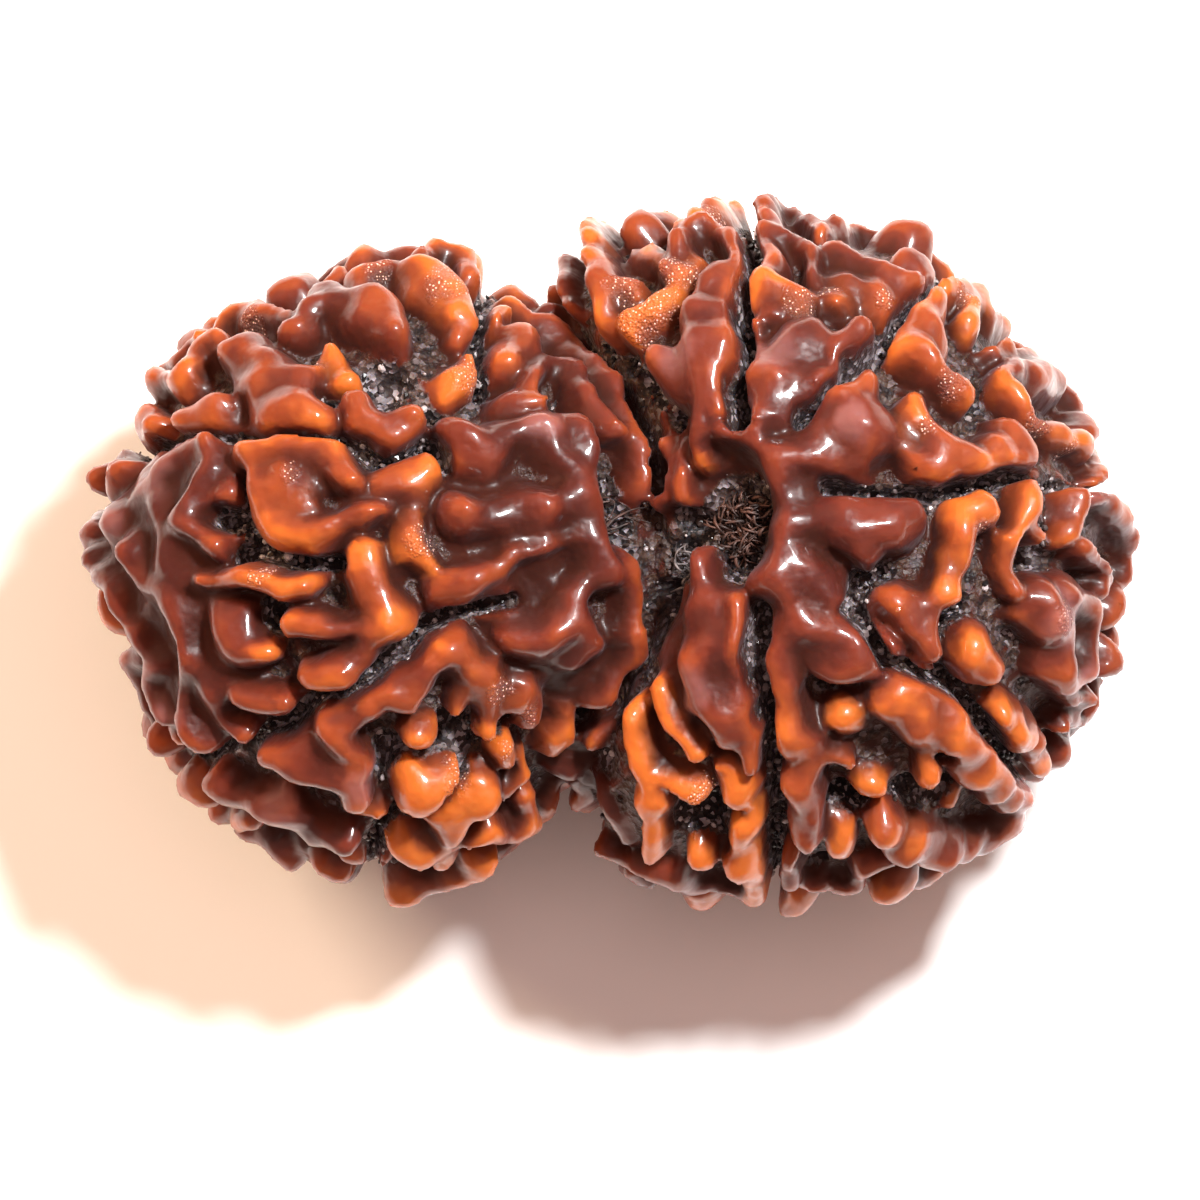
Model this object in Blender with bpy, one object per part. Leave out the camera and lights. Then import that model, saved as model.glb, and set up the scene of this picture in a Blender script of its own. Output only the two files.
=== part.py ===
"""Conjoined rudraksha bead: two ridged stones that grew together side by side as one seed.

Lengths are in millimetres until a mesh is written, which is in metres. X runs along the pair, Y across it,
and Z up from the surface that the seed lies on. Each lobe is a rounded body whose skin carries a raised net:
ridges and lumps as they lie on the upper side, and a net grown by rule on the sides and the underside.
"""
import math
import random

import bmesh
import bpy
import numpy as np

MM = 0.001

# Mesh of a lobe before the two are joined
LOBE_TRIANGLES = 5650
LOBE_SUBDIVISIONS = 7
SMOOTH_PASSES = 3
MERGE_DISTANCE = 0.01

# Ridges and pits are placed as they are seen from above, tilted a little to the front
VIEW_TILT = math.radians(80.0)
VIEW_DISTANCE = 300.0
VIEW_HEIGHT = 10.0
VIEW_AIM = np.array((0.0, 0.0, VIEW_HEIGHT))
VIEW_UP = np.array((0.0, math.sin(VIEW_TILT), math.cos(VIEW_TILT)))
VIEW_BACK = np.array((0.0, -math.cos(VIEW_TILT), math.sin(VIEW_TILT)))
VIEW_RIGHT = np.array((1.0, 0.0, 0.0))

# Levels of the skin; a lobe's own outline and half height are at the level RELIEF
RELIEF = 1.5
FLOOR_LEVEL = 0.75
PIT_LEVEL = -0.45
GROOVE_LEVEL = -0.35
HOLE_LEVEL = 0.2
FOOT_LEVEL = 0.2
BLEND = 0.35
RIDGE_POWER = 0.6
RIDGE_WIDEN = 1.3
PATH_SPACING = 0.9

# Clefts that start above this share of the half height stay on the upper side
UPPER_SIDE = 0.45
EXTRA_CLEFT_START = 0.05
EXTRA_CLEFT_WIDTH = 0.42

# Broad petals round the lower pole: reach from it and half widths, widest between clefts far apart
PETAL_LEVEL = 1.95
PETAL_FOOT = 0.16
PETAL_WAIST = 0.3
PETAL_REACH = (0.42, 0.6)
PETAL_WIDTHS = (0.6, 0.95, 1.15)

# The net that covers the sides and the underside
NET_SEED = 8
NET_SPACING = 2.3
NET_REACH = 3.5
NET_LINKS = 0.55
NET_TOP = 0.33
NET_CLEAR_OF_GROOVE = 0.95
NET_CLEAR_OF_RIDGE = 1.5
NET_TRIES = 14000
NET_INSET = 0.8
KNOB_WIDTH = (0.6, 0.95)
KNOB_LEVEL = (1.4, 1.95)
KNOB_LEAN = 0.6
KNOB_TAPER = 0.8
LINK_WIDTH = (0.42, 0.6)
LINK_BOW = 0.5
LINK_LEVEL = 0.93

# Box that takes away what would lie below the surface the seed rests on
CUTTER_LOW = (-30.0, -20.0, -8.0)
CUTTER_HIGH = (30.0, 20.0, 0.0)


class Lobe:
    """One stone of the pair: centre, radii of its outline every 15 degrees from +X, and half height."""

    def __init__(self, name, centre, radii, half_height, bottom_pole):
        self.name = name
        self.centre = np.array(centre)
        self.radii = np.array(radii)
        self.half_height = half_height
        self.bottom_pole = unit(np.array(bottom_pole))

    def outline(self, x, y):
        """Radius of the outline in the direction x, y, eased between the read radii."""
        turn = np.mod(np.arctan2(y, x) / (2 * math.pi), 1.0) * len(self.radii)
        first = np.floor(turn).astype(int) % len(self.radii)
        step = turn - np.floor(turn)
        points = [self.radii[(first + k) % len(self.radii)] for k in (-1, 0, 1, 2)]
        bend = points[3] - 3 * points[2] + 3 * points[1] - points[0]
        slope = 2 * points[0] - 5 * points[1] + 4 * points[2] - points[3]
        return points[1] + 0.5 * step * (points[2] - points[0] + step * (slope + step * bend))

    def skin(self, turned, lift=0.0):
        """Point on the skin for each unit direction, lifted along that direction."""
        radius = self.outline(turned[:, 0], turned[:, 1])
        body = np.stack((turned[:, 0] * radius, turned[:, 1] * radius, turned[:, 2] * self.half_height), axis=1)
        reach = np.linalg.norm(body, axis=1)
        return self.centre + body * ((reach + lift) / reach)[:, None]

    def inside(self, points, margin=0.0):
        """Which points lie inside the lobe's skin, drawn in by a margin."""
        body = points - self.centre
        radius = self.outline(body[:, 0], body[:, 1]) - margin
        height = self.half_height - margin
        return (body[:, 0] ** 2 + body[:, 1] ** 2) / radius ** 2 + (body[:, 2] / height) ** 2 < 1.0


def unit(vector):
    return vector / np.linalg.norm(vector)


RIGHT = Lobe(
    "right", (8.0, 0.1, 9.75),
    (10.7, 10.4, 10.2, 10.1, 10.9, 11.8, 11.9, 12.9, 12.7, 11.8, 9.8, 9.2,
     9.0, 9.1, 9.6, 11.6, 13.7, 13.2, 12.6, 12.4, 12.0, 11.1, 11.0, 10.4),
    9.9, (-0.12, -0.1, -1.0))
LEFT = Lobe(
    "left", (-8.4, -0.5, 9.55),
    (14.0, 14.0, 13.2, 11.3, 11.1, 11.6, 11.2, 10.3, 10.5, 10.2, 9.8, 9.9,
     10.5, 9.8, 9.6, 10.0, 10.2, 10.8, 11.6, 11.6, 11.2, 10.6, 12.3, 13.5),
    9.7, (0.22, 0.08, -1.0))

# Ridges of the right lobe: height, then points across the view with the half width there
RIGHT_RIDGES = [
    # Collar round the pole and the curled rims between the two poles
    (1.9, [(3.2, 3.2, .6), (4.5, 3.6, .65), (5.8, 2.9, .75), (6.4, 1.5, .8), (6.2, 0, .75),
           (5.6, -1.2, .7), (4.3, -1.3, .6)]),
    (1.2, [(1.9, 4.2, .35), (2.1, 3, .35), (2.2, 1.8, .35)]),
    (1.3, [(2.7, 4, .3), (2.8, 2.4, .3)]),
    # Petal left of the upper groove, with its hooked ridge and spike
    (2.0, [(3.3, 3.8, .7), (3.5, 5.2, .9), (3.3, 6.4, 1.3), (3.5, 7.4, 1.1)]),
    (1.9, [(4.2, 5, .5), (4.1, 8, .5), (4.2, 11.2, .5)]),
    (1.8, [(2.6, 6, .6), (1.6, 7.1, .5)]),
    (1.7, [(.4, 7.7, .5), (1.5, 9, .5), (2.3, 10.3, .5), (3, 11, .5), (4.2, 11.2, .5)]),
    (1.2, [(3.3, 8.6, .8), (3.4, 10, .75)]),
    (1.5, [(2, 11, .4), (3.3, 11.9, .4), (4.4, 12.6, .3)]),
    (1.0, [(.8, 10.8, .5), (1.7, 10.7, .4)]),
    (1.7, [(-.3, 11.7, .42), (-.2, 9, .45)]),
    (1.4, [(.2, 9.2, .45), (1, 9.4, .4)]),
    (1.2, [(-1.6, 10.9, .35), (-1.3, 8.5, .35)]),
    # Petal right of the upper groove
    (2.0, [(5.3, 4.4, .6), (5.7, 5.6, .7), (6.2, 6.8, 1.0), (6.5, 7.6, .9)]),
    (1.8, [(5.2, 6, .4), (5.3, 8, .4)]),
    (1.9, [(6, 4.5, .5), (7.5, 6, .5), (9.1, 8.2, .45)]),
    # Forked lump over it and the outer rim
    (1.5, [(5.9, 9.4, .6), (6.6, 8.9, .7)]),
    (1.8, [(6, 8.5, .5), (5.8, 10, .5), (5.5, 11.8, .5), (6, 12.6, .4)]),
    (1.8, [(5.7, 11.8, .45), (6.2, 11.2, .5), (7.2, 10.4, .5), (7.4, 9.6, .45)]),
    (1.5, [(5.5, 12.5, .4), (6.5, 12.4, .4), (7.5, 11.7, .4), (9, 11.8, .4), (10.5, 11.8, .4),
           (11.5, 11.3, .45), (12.2, 10.8, .4)]),
    (1.8, [(7.9, 10.6, .5), (8.5, 10.3, .55), (9.5, 9.8, .6), (10.5, 9.5, .55)]),
    (1.6, [(8.4, 10.1, .5), (8.2, 9, .55)]),
    (1.6, [(9.4, 9.8, .5), (9.5, 9, .55)]),
    (1.7, [(10.8, 10.6, .7), (11.2, 10.4, .75)]),
    (1.3, [(12, 10.7, .4), (12.3, 10.5, .35)]),
    # Lumps right of the upper right groove
    (1.9, [(11.5, 8.7, .8), (11.3, 7.3, 1.0), (11.5, 6.4, .6), (12.6, 5.6, .4)]),
    (1.6, [(12.2, 9.4, .5), (13.2, 9.3, .5), (12.9, 8.2, .45)]),
    (1.4, [(13, 9.8, .3), (14, 9.1, .3)]),
    (1.4, [(13.7, 8.7, .4), (14.6, 8.3, .45)]),
    (1.5, [(13.7, 7.3, .35), (14.5, 7.2, .4), (15.5, 6.9, .35)]),
    (1.8, [(14, 6.4, .45), (15, 6.5, .6), (16, 6, .6), (16.8, 5, .6), (17, 4.2, .5)]),
    (1.7, [(14, 6.2, .4), (14.8, 5.2, .5), (15.3, 4.5, .5), (16.2, 4.2, .5), (17, 3.7, .5)]),
    (1.5, [(17.3, 3.8, .45), (17.6, 2.3, .45)]),
    (1.8, [(10.9, 5.4, .6), (10.9, 4, .8), (11.3, 3.3, .7)]),
    (1.8, [(11.3, 3.4, .6), (12.6, 3.4, .7), (13.2, 3.5, .6), (14.4, 4.4, .6), (15.2, 3.5, .5)]),
    (1.7, [(13.4, 3.4, .5), (14.6, 3.2, .5)]),
    # Petals above and below the right groove
    (2.0, [(6.3, 3.4, .7), (7.6, 3.8, 1.1), (9.0, 4.5, 1.25)]),
    (1.9, [(7.4, 4.9, .6), (9.2, 5.8, .45)]),
    (2.0, [(6.6, 1.2, .7), (8.6, .9, .95), (10.4, .9, .9)]),
    (1.8, [(8.6, .6, .7), (9.4, -.4, .6)]),
    (1.8, [(13.1, 1.4, .75), (12.6, .3, .7), (11.9, -1.5, .6)]),
    (1.8, [(10.1, -2.1, .5), (11.5, -1.8, .5), (11.6, -3.4, .45)]),
    (1.8, [(10.2, -2.2, .4), (10.9, -2.5, .6), (11.5, -3.3, .4)]),
    (1.9, [(13.3, -3.9, .85), (13.5, -4.1, .85)]),
    # Chain at the right end
    (1.7, [(15.2, 2, .45), (14.7, 1.2, .45), (14.2, .4, .45), (14.3, -.6, .45), (14.6, -1.4, .45)]),
    (1.5, [(14.9, .9, .4), (15.5, .7, .35)]),
    (1.6, [(16.8, 1.8, .5), (16.6, .6, .5)]),
    (1.8, [(17.4, 2, .45), (18.2, 1.2, .5), (18.5, 0, .5), (18.3, -1.2, .5), (17.9, -2.3, .5)]),
    (1.6, [(17, 0, .4), (17.6, -.5, .4), (17.9, -1.2, .4), (17.2, -2, .4)]),
    (1.8, [(15.2, -1.6, .6), (16.6, -1.6, .6), (17.2, -2.5, .7), (17, -4, .7), (16.2, -4.8, .6)]),
    (1.5, [(15, -2.4, .4), (15.7, -3.2, .4), (15.9, -4.2, .4)]),
    (1.4, [(16.1, -2.5, .6), (16.3, -3.4, .5)]),
    (1.7, [(14.2, -6, .6), (15, -6.8, .6)]),
    (1.6, [(16.4, -5, .5), (17.1, -5.5, .5)]),
    (1.5, [(16.2, -6.4, .4), (17.2, -6.2, .45), (17.7, -5.8, .4), (17.6, -4.8, .4)]),
    (1.5, [(15.3, -7.2, .5), (15.8, -8, .45)]),
    # Great looped ridge at the lower right
    (1.9, [(10.8, -5.3, 1.2), (11.5, -6.3, .9), (13, -7, .85), (14, -7.8, .8), (14.6, -9, .8),
           (14, -10.1, .8), (12.5, -10.8, .75), (10.5, -10.6, .7), (9.8, -10, .6)]),
    (1.7, [(11.4, -7, .6), (11.4, -8.2, .5)]),
    (1.0, [(12.6, -9.2, .35), (12.7, -9.6, .35)]),
    (1.2, [(11.3, -11.5, .45), (12.6, -11.4, .45)]),
    # Forked petal right of the lower groove
    (2.0, [(6.1, -.8, .7), (6.7, -2.4, .8), (8, -3.5, .8), (9.7, -3.9, .8)]),
    (1.9, [(6.5, -2.6, .75), (6.3, -4, .75), (6.4, -6, .8), (6.9, -8, .75), (7, -10.3, .6)]),
    (1.5, [(7.3, -7.6, .4), (8.3, -7.8, .4)]),
    (1.6, [(8.4, -6.2, .7), (8.7, -6.4, .7)]),
    (1.4, [(9.2, -8.6, .5), (9.5, -8.8, .45)]),
    (1.5, [(8.2, -10.3, .5), (8.3, -10.9, .5)]),
    (1.4, [(6.5, -11.3, .4), (6.6, -12.2, .4), (8, -12.5, .4), (8.8, -12.2, .4), (9.3, -11.7, .4),
           (10, -11.5, .4)]),
    # Petal left of the lower groove and what hangs under it
    (2.0, [(3.3, -.4, .45), (3.4, -2, .9), (3.5, -3.6, 1.2), (3.7, -5.2, 1.2), (4.3, -6.6, .7)]),
    (1.9, [(4.6, -2, .4), (4.7, -4, .4), (4.9, -6, .4), (5, -7.6, .4)]),
    (1.5, [(1.7, -5.2, .5), (2.3, -6.4, .5), (3, -7.4, .45)]),
    (1.6, [(4.3, -8.4, .65), (4.5, -8.7, .65), (4.9, -9.8, .35)]),
    (1.7, [(.9, -6, .5), (1.2, -8, .5), (1.3, -9.5, .5), (1.5, -10.9, .45)]),
    (1.5, [(1.6, -8.1, .4), (3, -8.8, .4)]),
    (1.7, [(4.7, -10, .5), (4.9, -11.5, .55), (5, -12.7, .45)]),
    (1.5, [(3.1, -11, .5), (3.4, -11.3, .5)]),
    (1.5, [(-.5, -11.2, .4), (.5, -11.5, .4), (2, -11.9, .4), (3, -12.3, .45), (4.2, -12.4, .4),
           (5, -12.6, .4)]),
    (.9, [(-1, -8.2, .5), (-.6, -9.6, .5), (.2, -10.8, .5)]),
]

LEFT_RIDGES = [
    # Collar, and the ridges that edge the lobe along the seam
    (1.9, [(-1.2, 4.3, .6), (-1, 2.5, .7), (-.9, .5, .7), (-.3, -1, .6)]),
    (1.8, [(-2.9, 5.9, .5), (-2.2, 6.7, .5), (-1.4, 6.5, .5), (-.6, 5.2, .5), (.2, 4.2, .5)]),
    (1.6, [(-2.2, 8.2, .45), (-1.2, 7.5, .45), (0, 6.2, .45), (.5, 5, .45), (.9, 4, .45), (1, 3, .4)]),
    (1.8, [(.5, -.5, .5), (.9, -2, .5), (.8, -3.5, .5), (.2, -4.6, .5), (-.5, -5.3, .45)]),
    # Petals that fan out from the pole
    (2.0, [(-5.2, 4.2, .7), (-3.8, 4.6, .9), (-2.3, 4.3, .8), (-1.3, 3.3, .6)]),
    (1.7, [(-3.6, 5.4, .5), (-2.6, 5.2, .4)]),
    (2.0, [(-5.2, 1.3, .8), (-3, 1.4, .95), (-1, 1.7, .8)]),
    (1.8, [(-5.6, -1.4, .8), (-4, -.6, .55), (-2.5, .2, .55), (-1.2, .6, .5)]),
    (2.0, [(-.4, -.7, .6), (-1.4, -2.2, .8), (-2.3, -3.2, 1.0), (-3.3, -3.4, .6)]),
    (1.9, [(-1, -2.8, .7), (-1.3, -4, .55)]),
    # Upper edge
    (1.9, [(-3, 7.4, .9), (-3.7, 6.7, .55)]),
    (1.3, [(-3.3, 9.2, .4), (-2.5, 8.4, .4)]),
    (1.5, [(-5.2, 7.9, .45), (-3.6, 8.6, .45)]),
    (1.8, [(-6.3, 9.8, .7), (-5.5, 8.9, .7)]),
    (1.6, [(-7, 10.2, .45), (-6.3, 10.7, .45), (-5.3, 10.5, .45), (-4.8, 9.8, .45)]),
    (1.6, [(-9, 9.5, .5), (-8.7, 10.5, .5), (-7.7, 10.6, .5), (-7.3, 9.9, .45)]),
    (1.5, [(-10.2, 9.7, .5), (-9.8, 9.9, .5)]),
    (1.9, [(-11.5, 8.2, .7), (-10.5, 8.9, .8), (-9, 8.7, .8), (-7.8, 8.2, .75), (-7.2, 7.5, .6)]),
    (1.4, [(-10.6, 6.4, .45), (-10, 7.3, .45), (-9.5, 6.5, .5)]),
    (1.3, [(-5.5, 6.2, .7), (-4.8, 6.9, .5)]),
    # Lumps on the crown
    (1.7, [(-9, 5.6, .55), (-8.9, 4.7, .6), (-7.7, 4.4, .6), (-7, 4.7, .5)]),
    (1.7, [(-7.7, 2.5, .7), (-6.7, 2.5, .75)]),
    (1.2, [(-6.9, .9, .6), (-6.7, -.5, .55)]),
    (1.7, [(-8.8, -.2, .5), (-8.4, -1.2, .6), (-8, -2.4, .95)]),
    (1.8, [(-12.9, 3.3, .55), (-11.3, 3.6, .6), (-10, 3.2, .6), (-9.2, 2.4, .5)]),
    (1.8, [(-12.8, 3.1, .5), (-12.4, 1.8, .7), (-11.8, .8, .7), (-10.5, .5, .6), (-9.4, 1, .55),
           (-8, 1.4, .4)]),
    (1.6, [(-11.4, 2.4, .8), (-11, 1.9, .8)]),
    # Left flank with its long wavy ridges
    (1.6, [(-16.1, 2.9, .7), (-15.7, 2.9, .75)]),
    (1.7, [(-17.8, 1, .7), (-17.5, .8, .75)]),
    (1.8, [(-14.3, 4, .5), (-14.2, 3, .5), (-15, 2, .5), (-15.2, 1, .5), (-14.6, .3, .45),
           (-14.1, .1, .4)]),
    (1.9, [(-18.6, 1, .5), (-18.1, -.5, .55), (-17.5, -1.5, .55), (-16.7, -2.8, .55), (-16.1, -4, .55),
           (-16.2, -5, .5), (-15.6, -5.8, .45)]),
    (1.9, [(-17, 0, .6), (-16.5, -1.2, .6), (-15.5, -2, .6), (-14.9, -3, .6), (-14.8, -3.8, .55),
           (-15.2, -4.7, .5), (-15, -5.7, .5), (-14.3, -6.9, .5)]),
    (1.7, [(-14.2, -5.2, .45), (-13.8, -6, .45), (-13.2, -6.5, .4)]),
    (1.7, [(-13.3, -5.4, .6), (-12.3, -5.4, .55), (-11.8, -5.5, .45)]),
    (1.6, [(-15.9, .6, .9), (-15.4, -.8, .9)]),
    (1.6, [(-13.9, -2.4, .9), (-13.3, -3.6, .8)]),
    (1.8, [(-14.5, -1, .45), (-13, -1, .45), (-11.5, -1.4, .45), (-10.7, -1.3, .5)]),
    (1.5, [(-12.7, -3.6, .45), (-12.4, -3.7, .45)]),
    (1.7, [(-11.2, -2.8, .5), (-10, -2.7, .55), (-8.8, -2.8, .5)]),
    (1.7, [(-10.6, -4.6, .5), (-9.8, -4.3, .6), (-9, -3.8, .6), (-8.2, -3, .6)]),
    (1.5, [(-15.7, -6.4, .55), (-15.5, -6.6, .55)]),
    # Upper left
    (1.6, [(-15.4, 4.8, .55), (-14.4, 4.9, .5)]),
    (1.5, [(-17, 4.9, .4), (-16.5, 4.5, .45)]),
    (1.7, [(-15.7, 5.8, .4), (-14.8, 6, .45), (-13.5, 6.7, .45), (-12.8, 7.4, .45), (-12, 7.4, .45)]),
    (1.8, [(-12.7, 7, .7), (-12.5, 6, .9), (-11.6, 5.3, .9), (-10.8, 4.9, .7)]),
    (1.6, [(-14.6, 7.7, .45), (-13.4, 8.5, .5), (-12.2, 8.6, .5), (-11, 8.3, .45)]),
    (1.5, [(-16.5, 6.2, .4), (-15.5, 7, .4), (-14.8, 7.6, .4)]),
    # Lower edge
    (1.8, [(-7.6, -5.3, .6), (-6.5, -4.6, .6), (-5.5, -3.6, .6)]),
    (1.8, [(-5.5, -3.6, .7), (-4.5, -4.6, .9), (-3.5, -5.2, .8), (-2.9, -5.6, .6)]),
    (1.5, [(-5.2, -5.2, .35), (-5.4, -5.9, .3)]),
    (1.7, [(-8.3, -5.8, .5), (-9.5, -6.4, .55)]),
    (1.8, [(-12, -7.6, .5), (-10.6, -7.6, .9), (-9.6, -8.1, .9)]),
    (1.8, [(-10, -6.6, .5), (-9.4, -7.4, .7), (-9.2, -8.9, .5)]),
    (1.6, [(-6.8, -6.8, .6), (-6.6, -6.8, .6)]),
    (1.7, [(-4.2, -6.5, .45), (-3.5, -7.6, .45)]),
    (1.4, [(-2.9, -7.5, .35), (-2.8, -8.2, .35), (-3.7, -9.1, .3)]),
    (1.7, [(-1.4, -5.8, .5), (-1.9, -7.1, .55)]),
    (1.8, [(-6.9, -8.3, .6), (-5.6, -8.4, .9), (-4.8, -8.5, .6)]),
    (1.8, [(-5.6, -8.4, .9), (-5.7, -9.6, .75)]),
    (1.3, [(-5.2, -10.8, .4), (-6, -11.5, .35)]),
    (1.6, [(-7, -10.7, .6), (-6.6, -11.2, .55), (-6.2, -10.8, .6)]),
    (1.6, [(-2.8, -9.2, .5), (-2.9, -10.1, .55), (-4.2, -10.2, .55), (-4.8, -10.5, .5)]),
    (1.2, [(-9.2, -9.7, .4), (-8.4, -9.7, .4)]),
    (1.2, [(-9.6, -11.3, .5), (-8.4, -11.7, .5)]),
    (1.7, [(-14.3, -8.3, .6), (-13, -9, .7), (-11.5, -9.6, .75), (-10.5, -10.2, .7), (-9.5, -10.6, .6)]),
]

# Rough pits between the ridges: centre across the view and radius
RIGHT_PITS = [
    (4.4, 1.4, 1.9), (2.2, 8.2, .8), (7.1, 8.2, .6), (9, 11, .7), (7.6, 9.7, .5), (13.9, 7.7, .8),
    (13.1, 6.2, 1.2),
    (16.1, 4.9, .6), (15.9, -.3, 1.2), (17.5, .1, .6), (15.0, -3.5, .5), (11.8, -9, 1.7), (8.6, -9.6, 1.0),
    (7.6, -6.8, .5), (7.6, -12, .5), (2.8, -9.9, 1.4), (8.8, -1.8, 1.2), (12.6, -2.4, .8), (12.6, 2.1, .6),
]
LEFT_PITS = [
    (.5, 1, 1.6), (-8, 6.7, 1.2), (-14.1, 1.2, .8), (-12, -2.6, .9), (-15.8, 5.6, .6), (-13.2, 7.6, .5),
    (-7.5, -8.2, 1.3), (-5.3, -6.9, 1.1), (-7, -1.6, .7), (-4, 3, .5), (-9.8, 5, .5), (-13.4, -.2, .6),
]
RIGHT_HOLES = [(12, -7.6, .5)]
LEFT_HOLES = [(-10.1, 1.8, .5), (-3, 3.8, .35)]

# The clefts that run from pole to pole, each with its half width
RIGHT_GROOVES = [
    (.5, [(4.8, 4.4), (4.7, 7), (4.85, 9), (5.0, 11), (5.0, 12.6)]),
    (.45, [(6.8, 4.8), (8.5, 6.4), (9.8, 7.7), (10.6, 8.6), (11.6, 9.6), (13, 10.6)]),
    (.45, [(7.8, 2.2), (10.3, 2.2), (12, 2.3), (14, 2.7), (16, 2.6), (17.2, 2.2), (18.4, 2)]),
    (.5, [(8.6, -2), (10, -4.2), (12, -4.8), (13, -5.7), (14.5, -7.5), (15.6, -9)]),
    (.5, [(5.2, -2.4), (5.4, -5), (5.6, -7), (5.8, -9), (5.9, -11), (5.8, -12.7)]),
]
LEFT_GROOVES = [
    (.4, [(-5.6, 3), (-6.2, 4), (-8.2, 3.5), (-9.8, 4.2), (-11, 4.2), (-12.5, 4.1), (-14, 4.4),
           (-17.1, 3.6)]),
    (.4, [(-9.5, -.5), (-11, -.4), (-12.6, -.1), (-13.3, 1), (-13.3, 2.6)]),
    (.45, [(-3, -1.7), (-4.5, -2.4), (-6.3, -2.9), (-7.5, -4), (-8.6, -5), (-10, -5.6), (-11.5, -6.4),
           (-12.8, -7.2),
           (-14.3, -7.7), (-15.6, -7.9)]),
    (.4, [(-4.3, 6.2), (-4.4, 7.4), (-4.3, 9.2), (-4, 10.6)]),
    (.4, [(-5.8, 5.2), (-7.4, 5.6), (-9.2, 5.9), (-10.2, 5.7)]),
    (.4, [(-3.6, -6.3), (-4.5, -7.3), (-7.4, -9.9), (-8.2, -10.8), (-8.6, -11.9)]),
]
# Where clefts of the underside start on the lobe's widest line, in degrees from +X, beside those above
RIGHT_EXTRA_CLEFTS = (132, 228)
LEFT_EXTRA_CLEFTS = (112, 198, 318, 48)


def unit_on(lobe, point):
    """Unit direction whose skin point lies on the line from the lobe's centre through a point."""
    body = point - lobe.centre
    radius = lobe.outline(body[0], body[1])
    return unit(np.array((body[0] / radius, body[1] / radius, body[2] / lobe.half_height)))


def lift(lobe, x, y):
    """Direction from the lobe's centre to the skin where the line of sight through x, y meets it."""
    seen = VIEW_AIM + x * VIEW_RIGHT + y * VIEW_UP
    eye = VIEW_AIM + VIEW_DISTANCE * VIEW_BACK
    height = lobe.centre[2] + 0.6 * lobe.half_height
    for _ in range(12):
        point = eye + (seen - eye) * ((height - eye[2]) / (seen[2] - eye[2]))
        across = point[:2] - lobe.centre[:2]
        share = np.linalg.norm(across) / lobe.outline(across[0], across[1])
        rise = math.sqrt(max(0.0, 1.0 - share * share))
        height = 0.5 * height + 0.5 * (lobe.centre[2] + lobe.half_height * rise)
    flat = across / np.linalg.norm(across) * min(share, 1.0)
    return unit(np.array((flat[0], flat[1], rise)))


def arc(start, end, steps):
    """Directions along the great circle from start to end."""
    angle = math.acos(max(-1.0, min(1.0, float(np.dot(start, end)))))
    return [unit(math.sin((1 - k / steps) * angle) * start + math.sin(k / steps * angle) * end)
            for k in range(steps + 1)]


def path_on_skin(lobe, directions, widths):
    """Points and half widths of a path laid on the skin, with more points where it is long."""
    points = [directions[0]]
    wide = [widths[0]]
    for k in range(len(directions) - 1):
        ends = lobe.skin(np.array((directions[k], directions[k + 1])))
        steps = max(1, int(np.linalg.norm(ends[1] - ends[0]) / PATH_SPACING))
        points += arc(directions[k], directions[k + 1], steps)[1:]
        wide += [widths[k] + (widths[k + 1] - widths[k]) * s / steps for s in range(1, steps + 1)]
    return lobe.skin(np.array(points)), np.array(wide)


def nearest(points, path, widths):
    """Least distance from each point to a path, as a share of the path's half width there."""
    best = np.full(len(points), 9.0)
    for k in range(len(path) - 1):
        along = path[k + 1] - path[k]
        length = max(float(np.dot(along, along)), 1e-9)
        share = np.clip(((points - path[k]) @ along) / length, 0.0, 1.0)
        distance = np.linalg.norm(points - path[k] - share[:, None] * along, axis=1)
        best = np.minimum(best, distance / (widths[k] + share * (widths[k + 1] - widths[k])))
    return best


def close_to(points, path, reach):
    """Indices of the points in the box round a path."""
    low = path.min(axis=0) - reach
    high = path.max(axis=0) + reach
    return np.nonzero(np.all((points > low) & (points < high), axis=1))[0]


def raise_ridge(level, points, path, widths, height):
    near = close_to(points, path, widths.max() * RIDGE_WIDEN)
    share = nearest(points[near], path, widths * RIDGE_WIDEN)
    ridge = FOOT_LEVEL + (height - FOOT_LEVEL) * np.clip(1.0 - share ** 2, 0.0, 1.0) ** RIDGE_POWER
    gap = np.abs(level[near] - ridge)
    blend = np.clip(BLEND - gap, 0.0, BLEND) ** 2 / (4 * BLEND)
    level[near] = np.where(share < 1.0, np.maximum(level[near], ridge) + blend, level[near])


def sink(level, points, path, widths, depth):
    near = close_to(points, path, widths.max())
    share = nearest(points[near], path, widths)
    weight = np.clip(1.0 - share ** 2, 0.0, 1.0)
    level[near] += (np.minimum(level[near], depth) - level[near]) * weight


def cleft_paths(lobe, grooves, extra_clefts):
    """The clefts as laid on the skin: down the upper side, over the edge and on to the lower pole."""
    paths = []
    for width, line in grooves:
        upper = [lift(lobe, x, y) for x, y in line]
        if upper[-1][2] < UPPER_SIDE:
            upper += arc(upper[-1], lobe.bottom_pole, 10)[1:-1]
        paths.append(path_on_skin(lobe, upper, [width] * len(upper)))
    for degrees in extra_clefts:
        turn = math.radians(degrees)
        start = unit(np.array((math.cos(turn), math.sin(turn), EXTRA_CLEFT_START)))
        lower = arc(start, lobe.bottom_pole, 10)[:-1]
        paths.append(path_on_skin(lobe, lower, [EXTRA_CLEFT_WIDTH] * len(lower)))
    return paths


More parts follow.
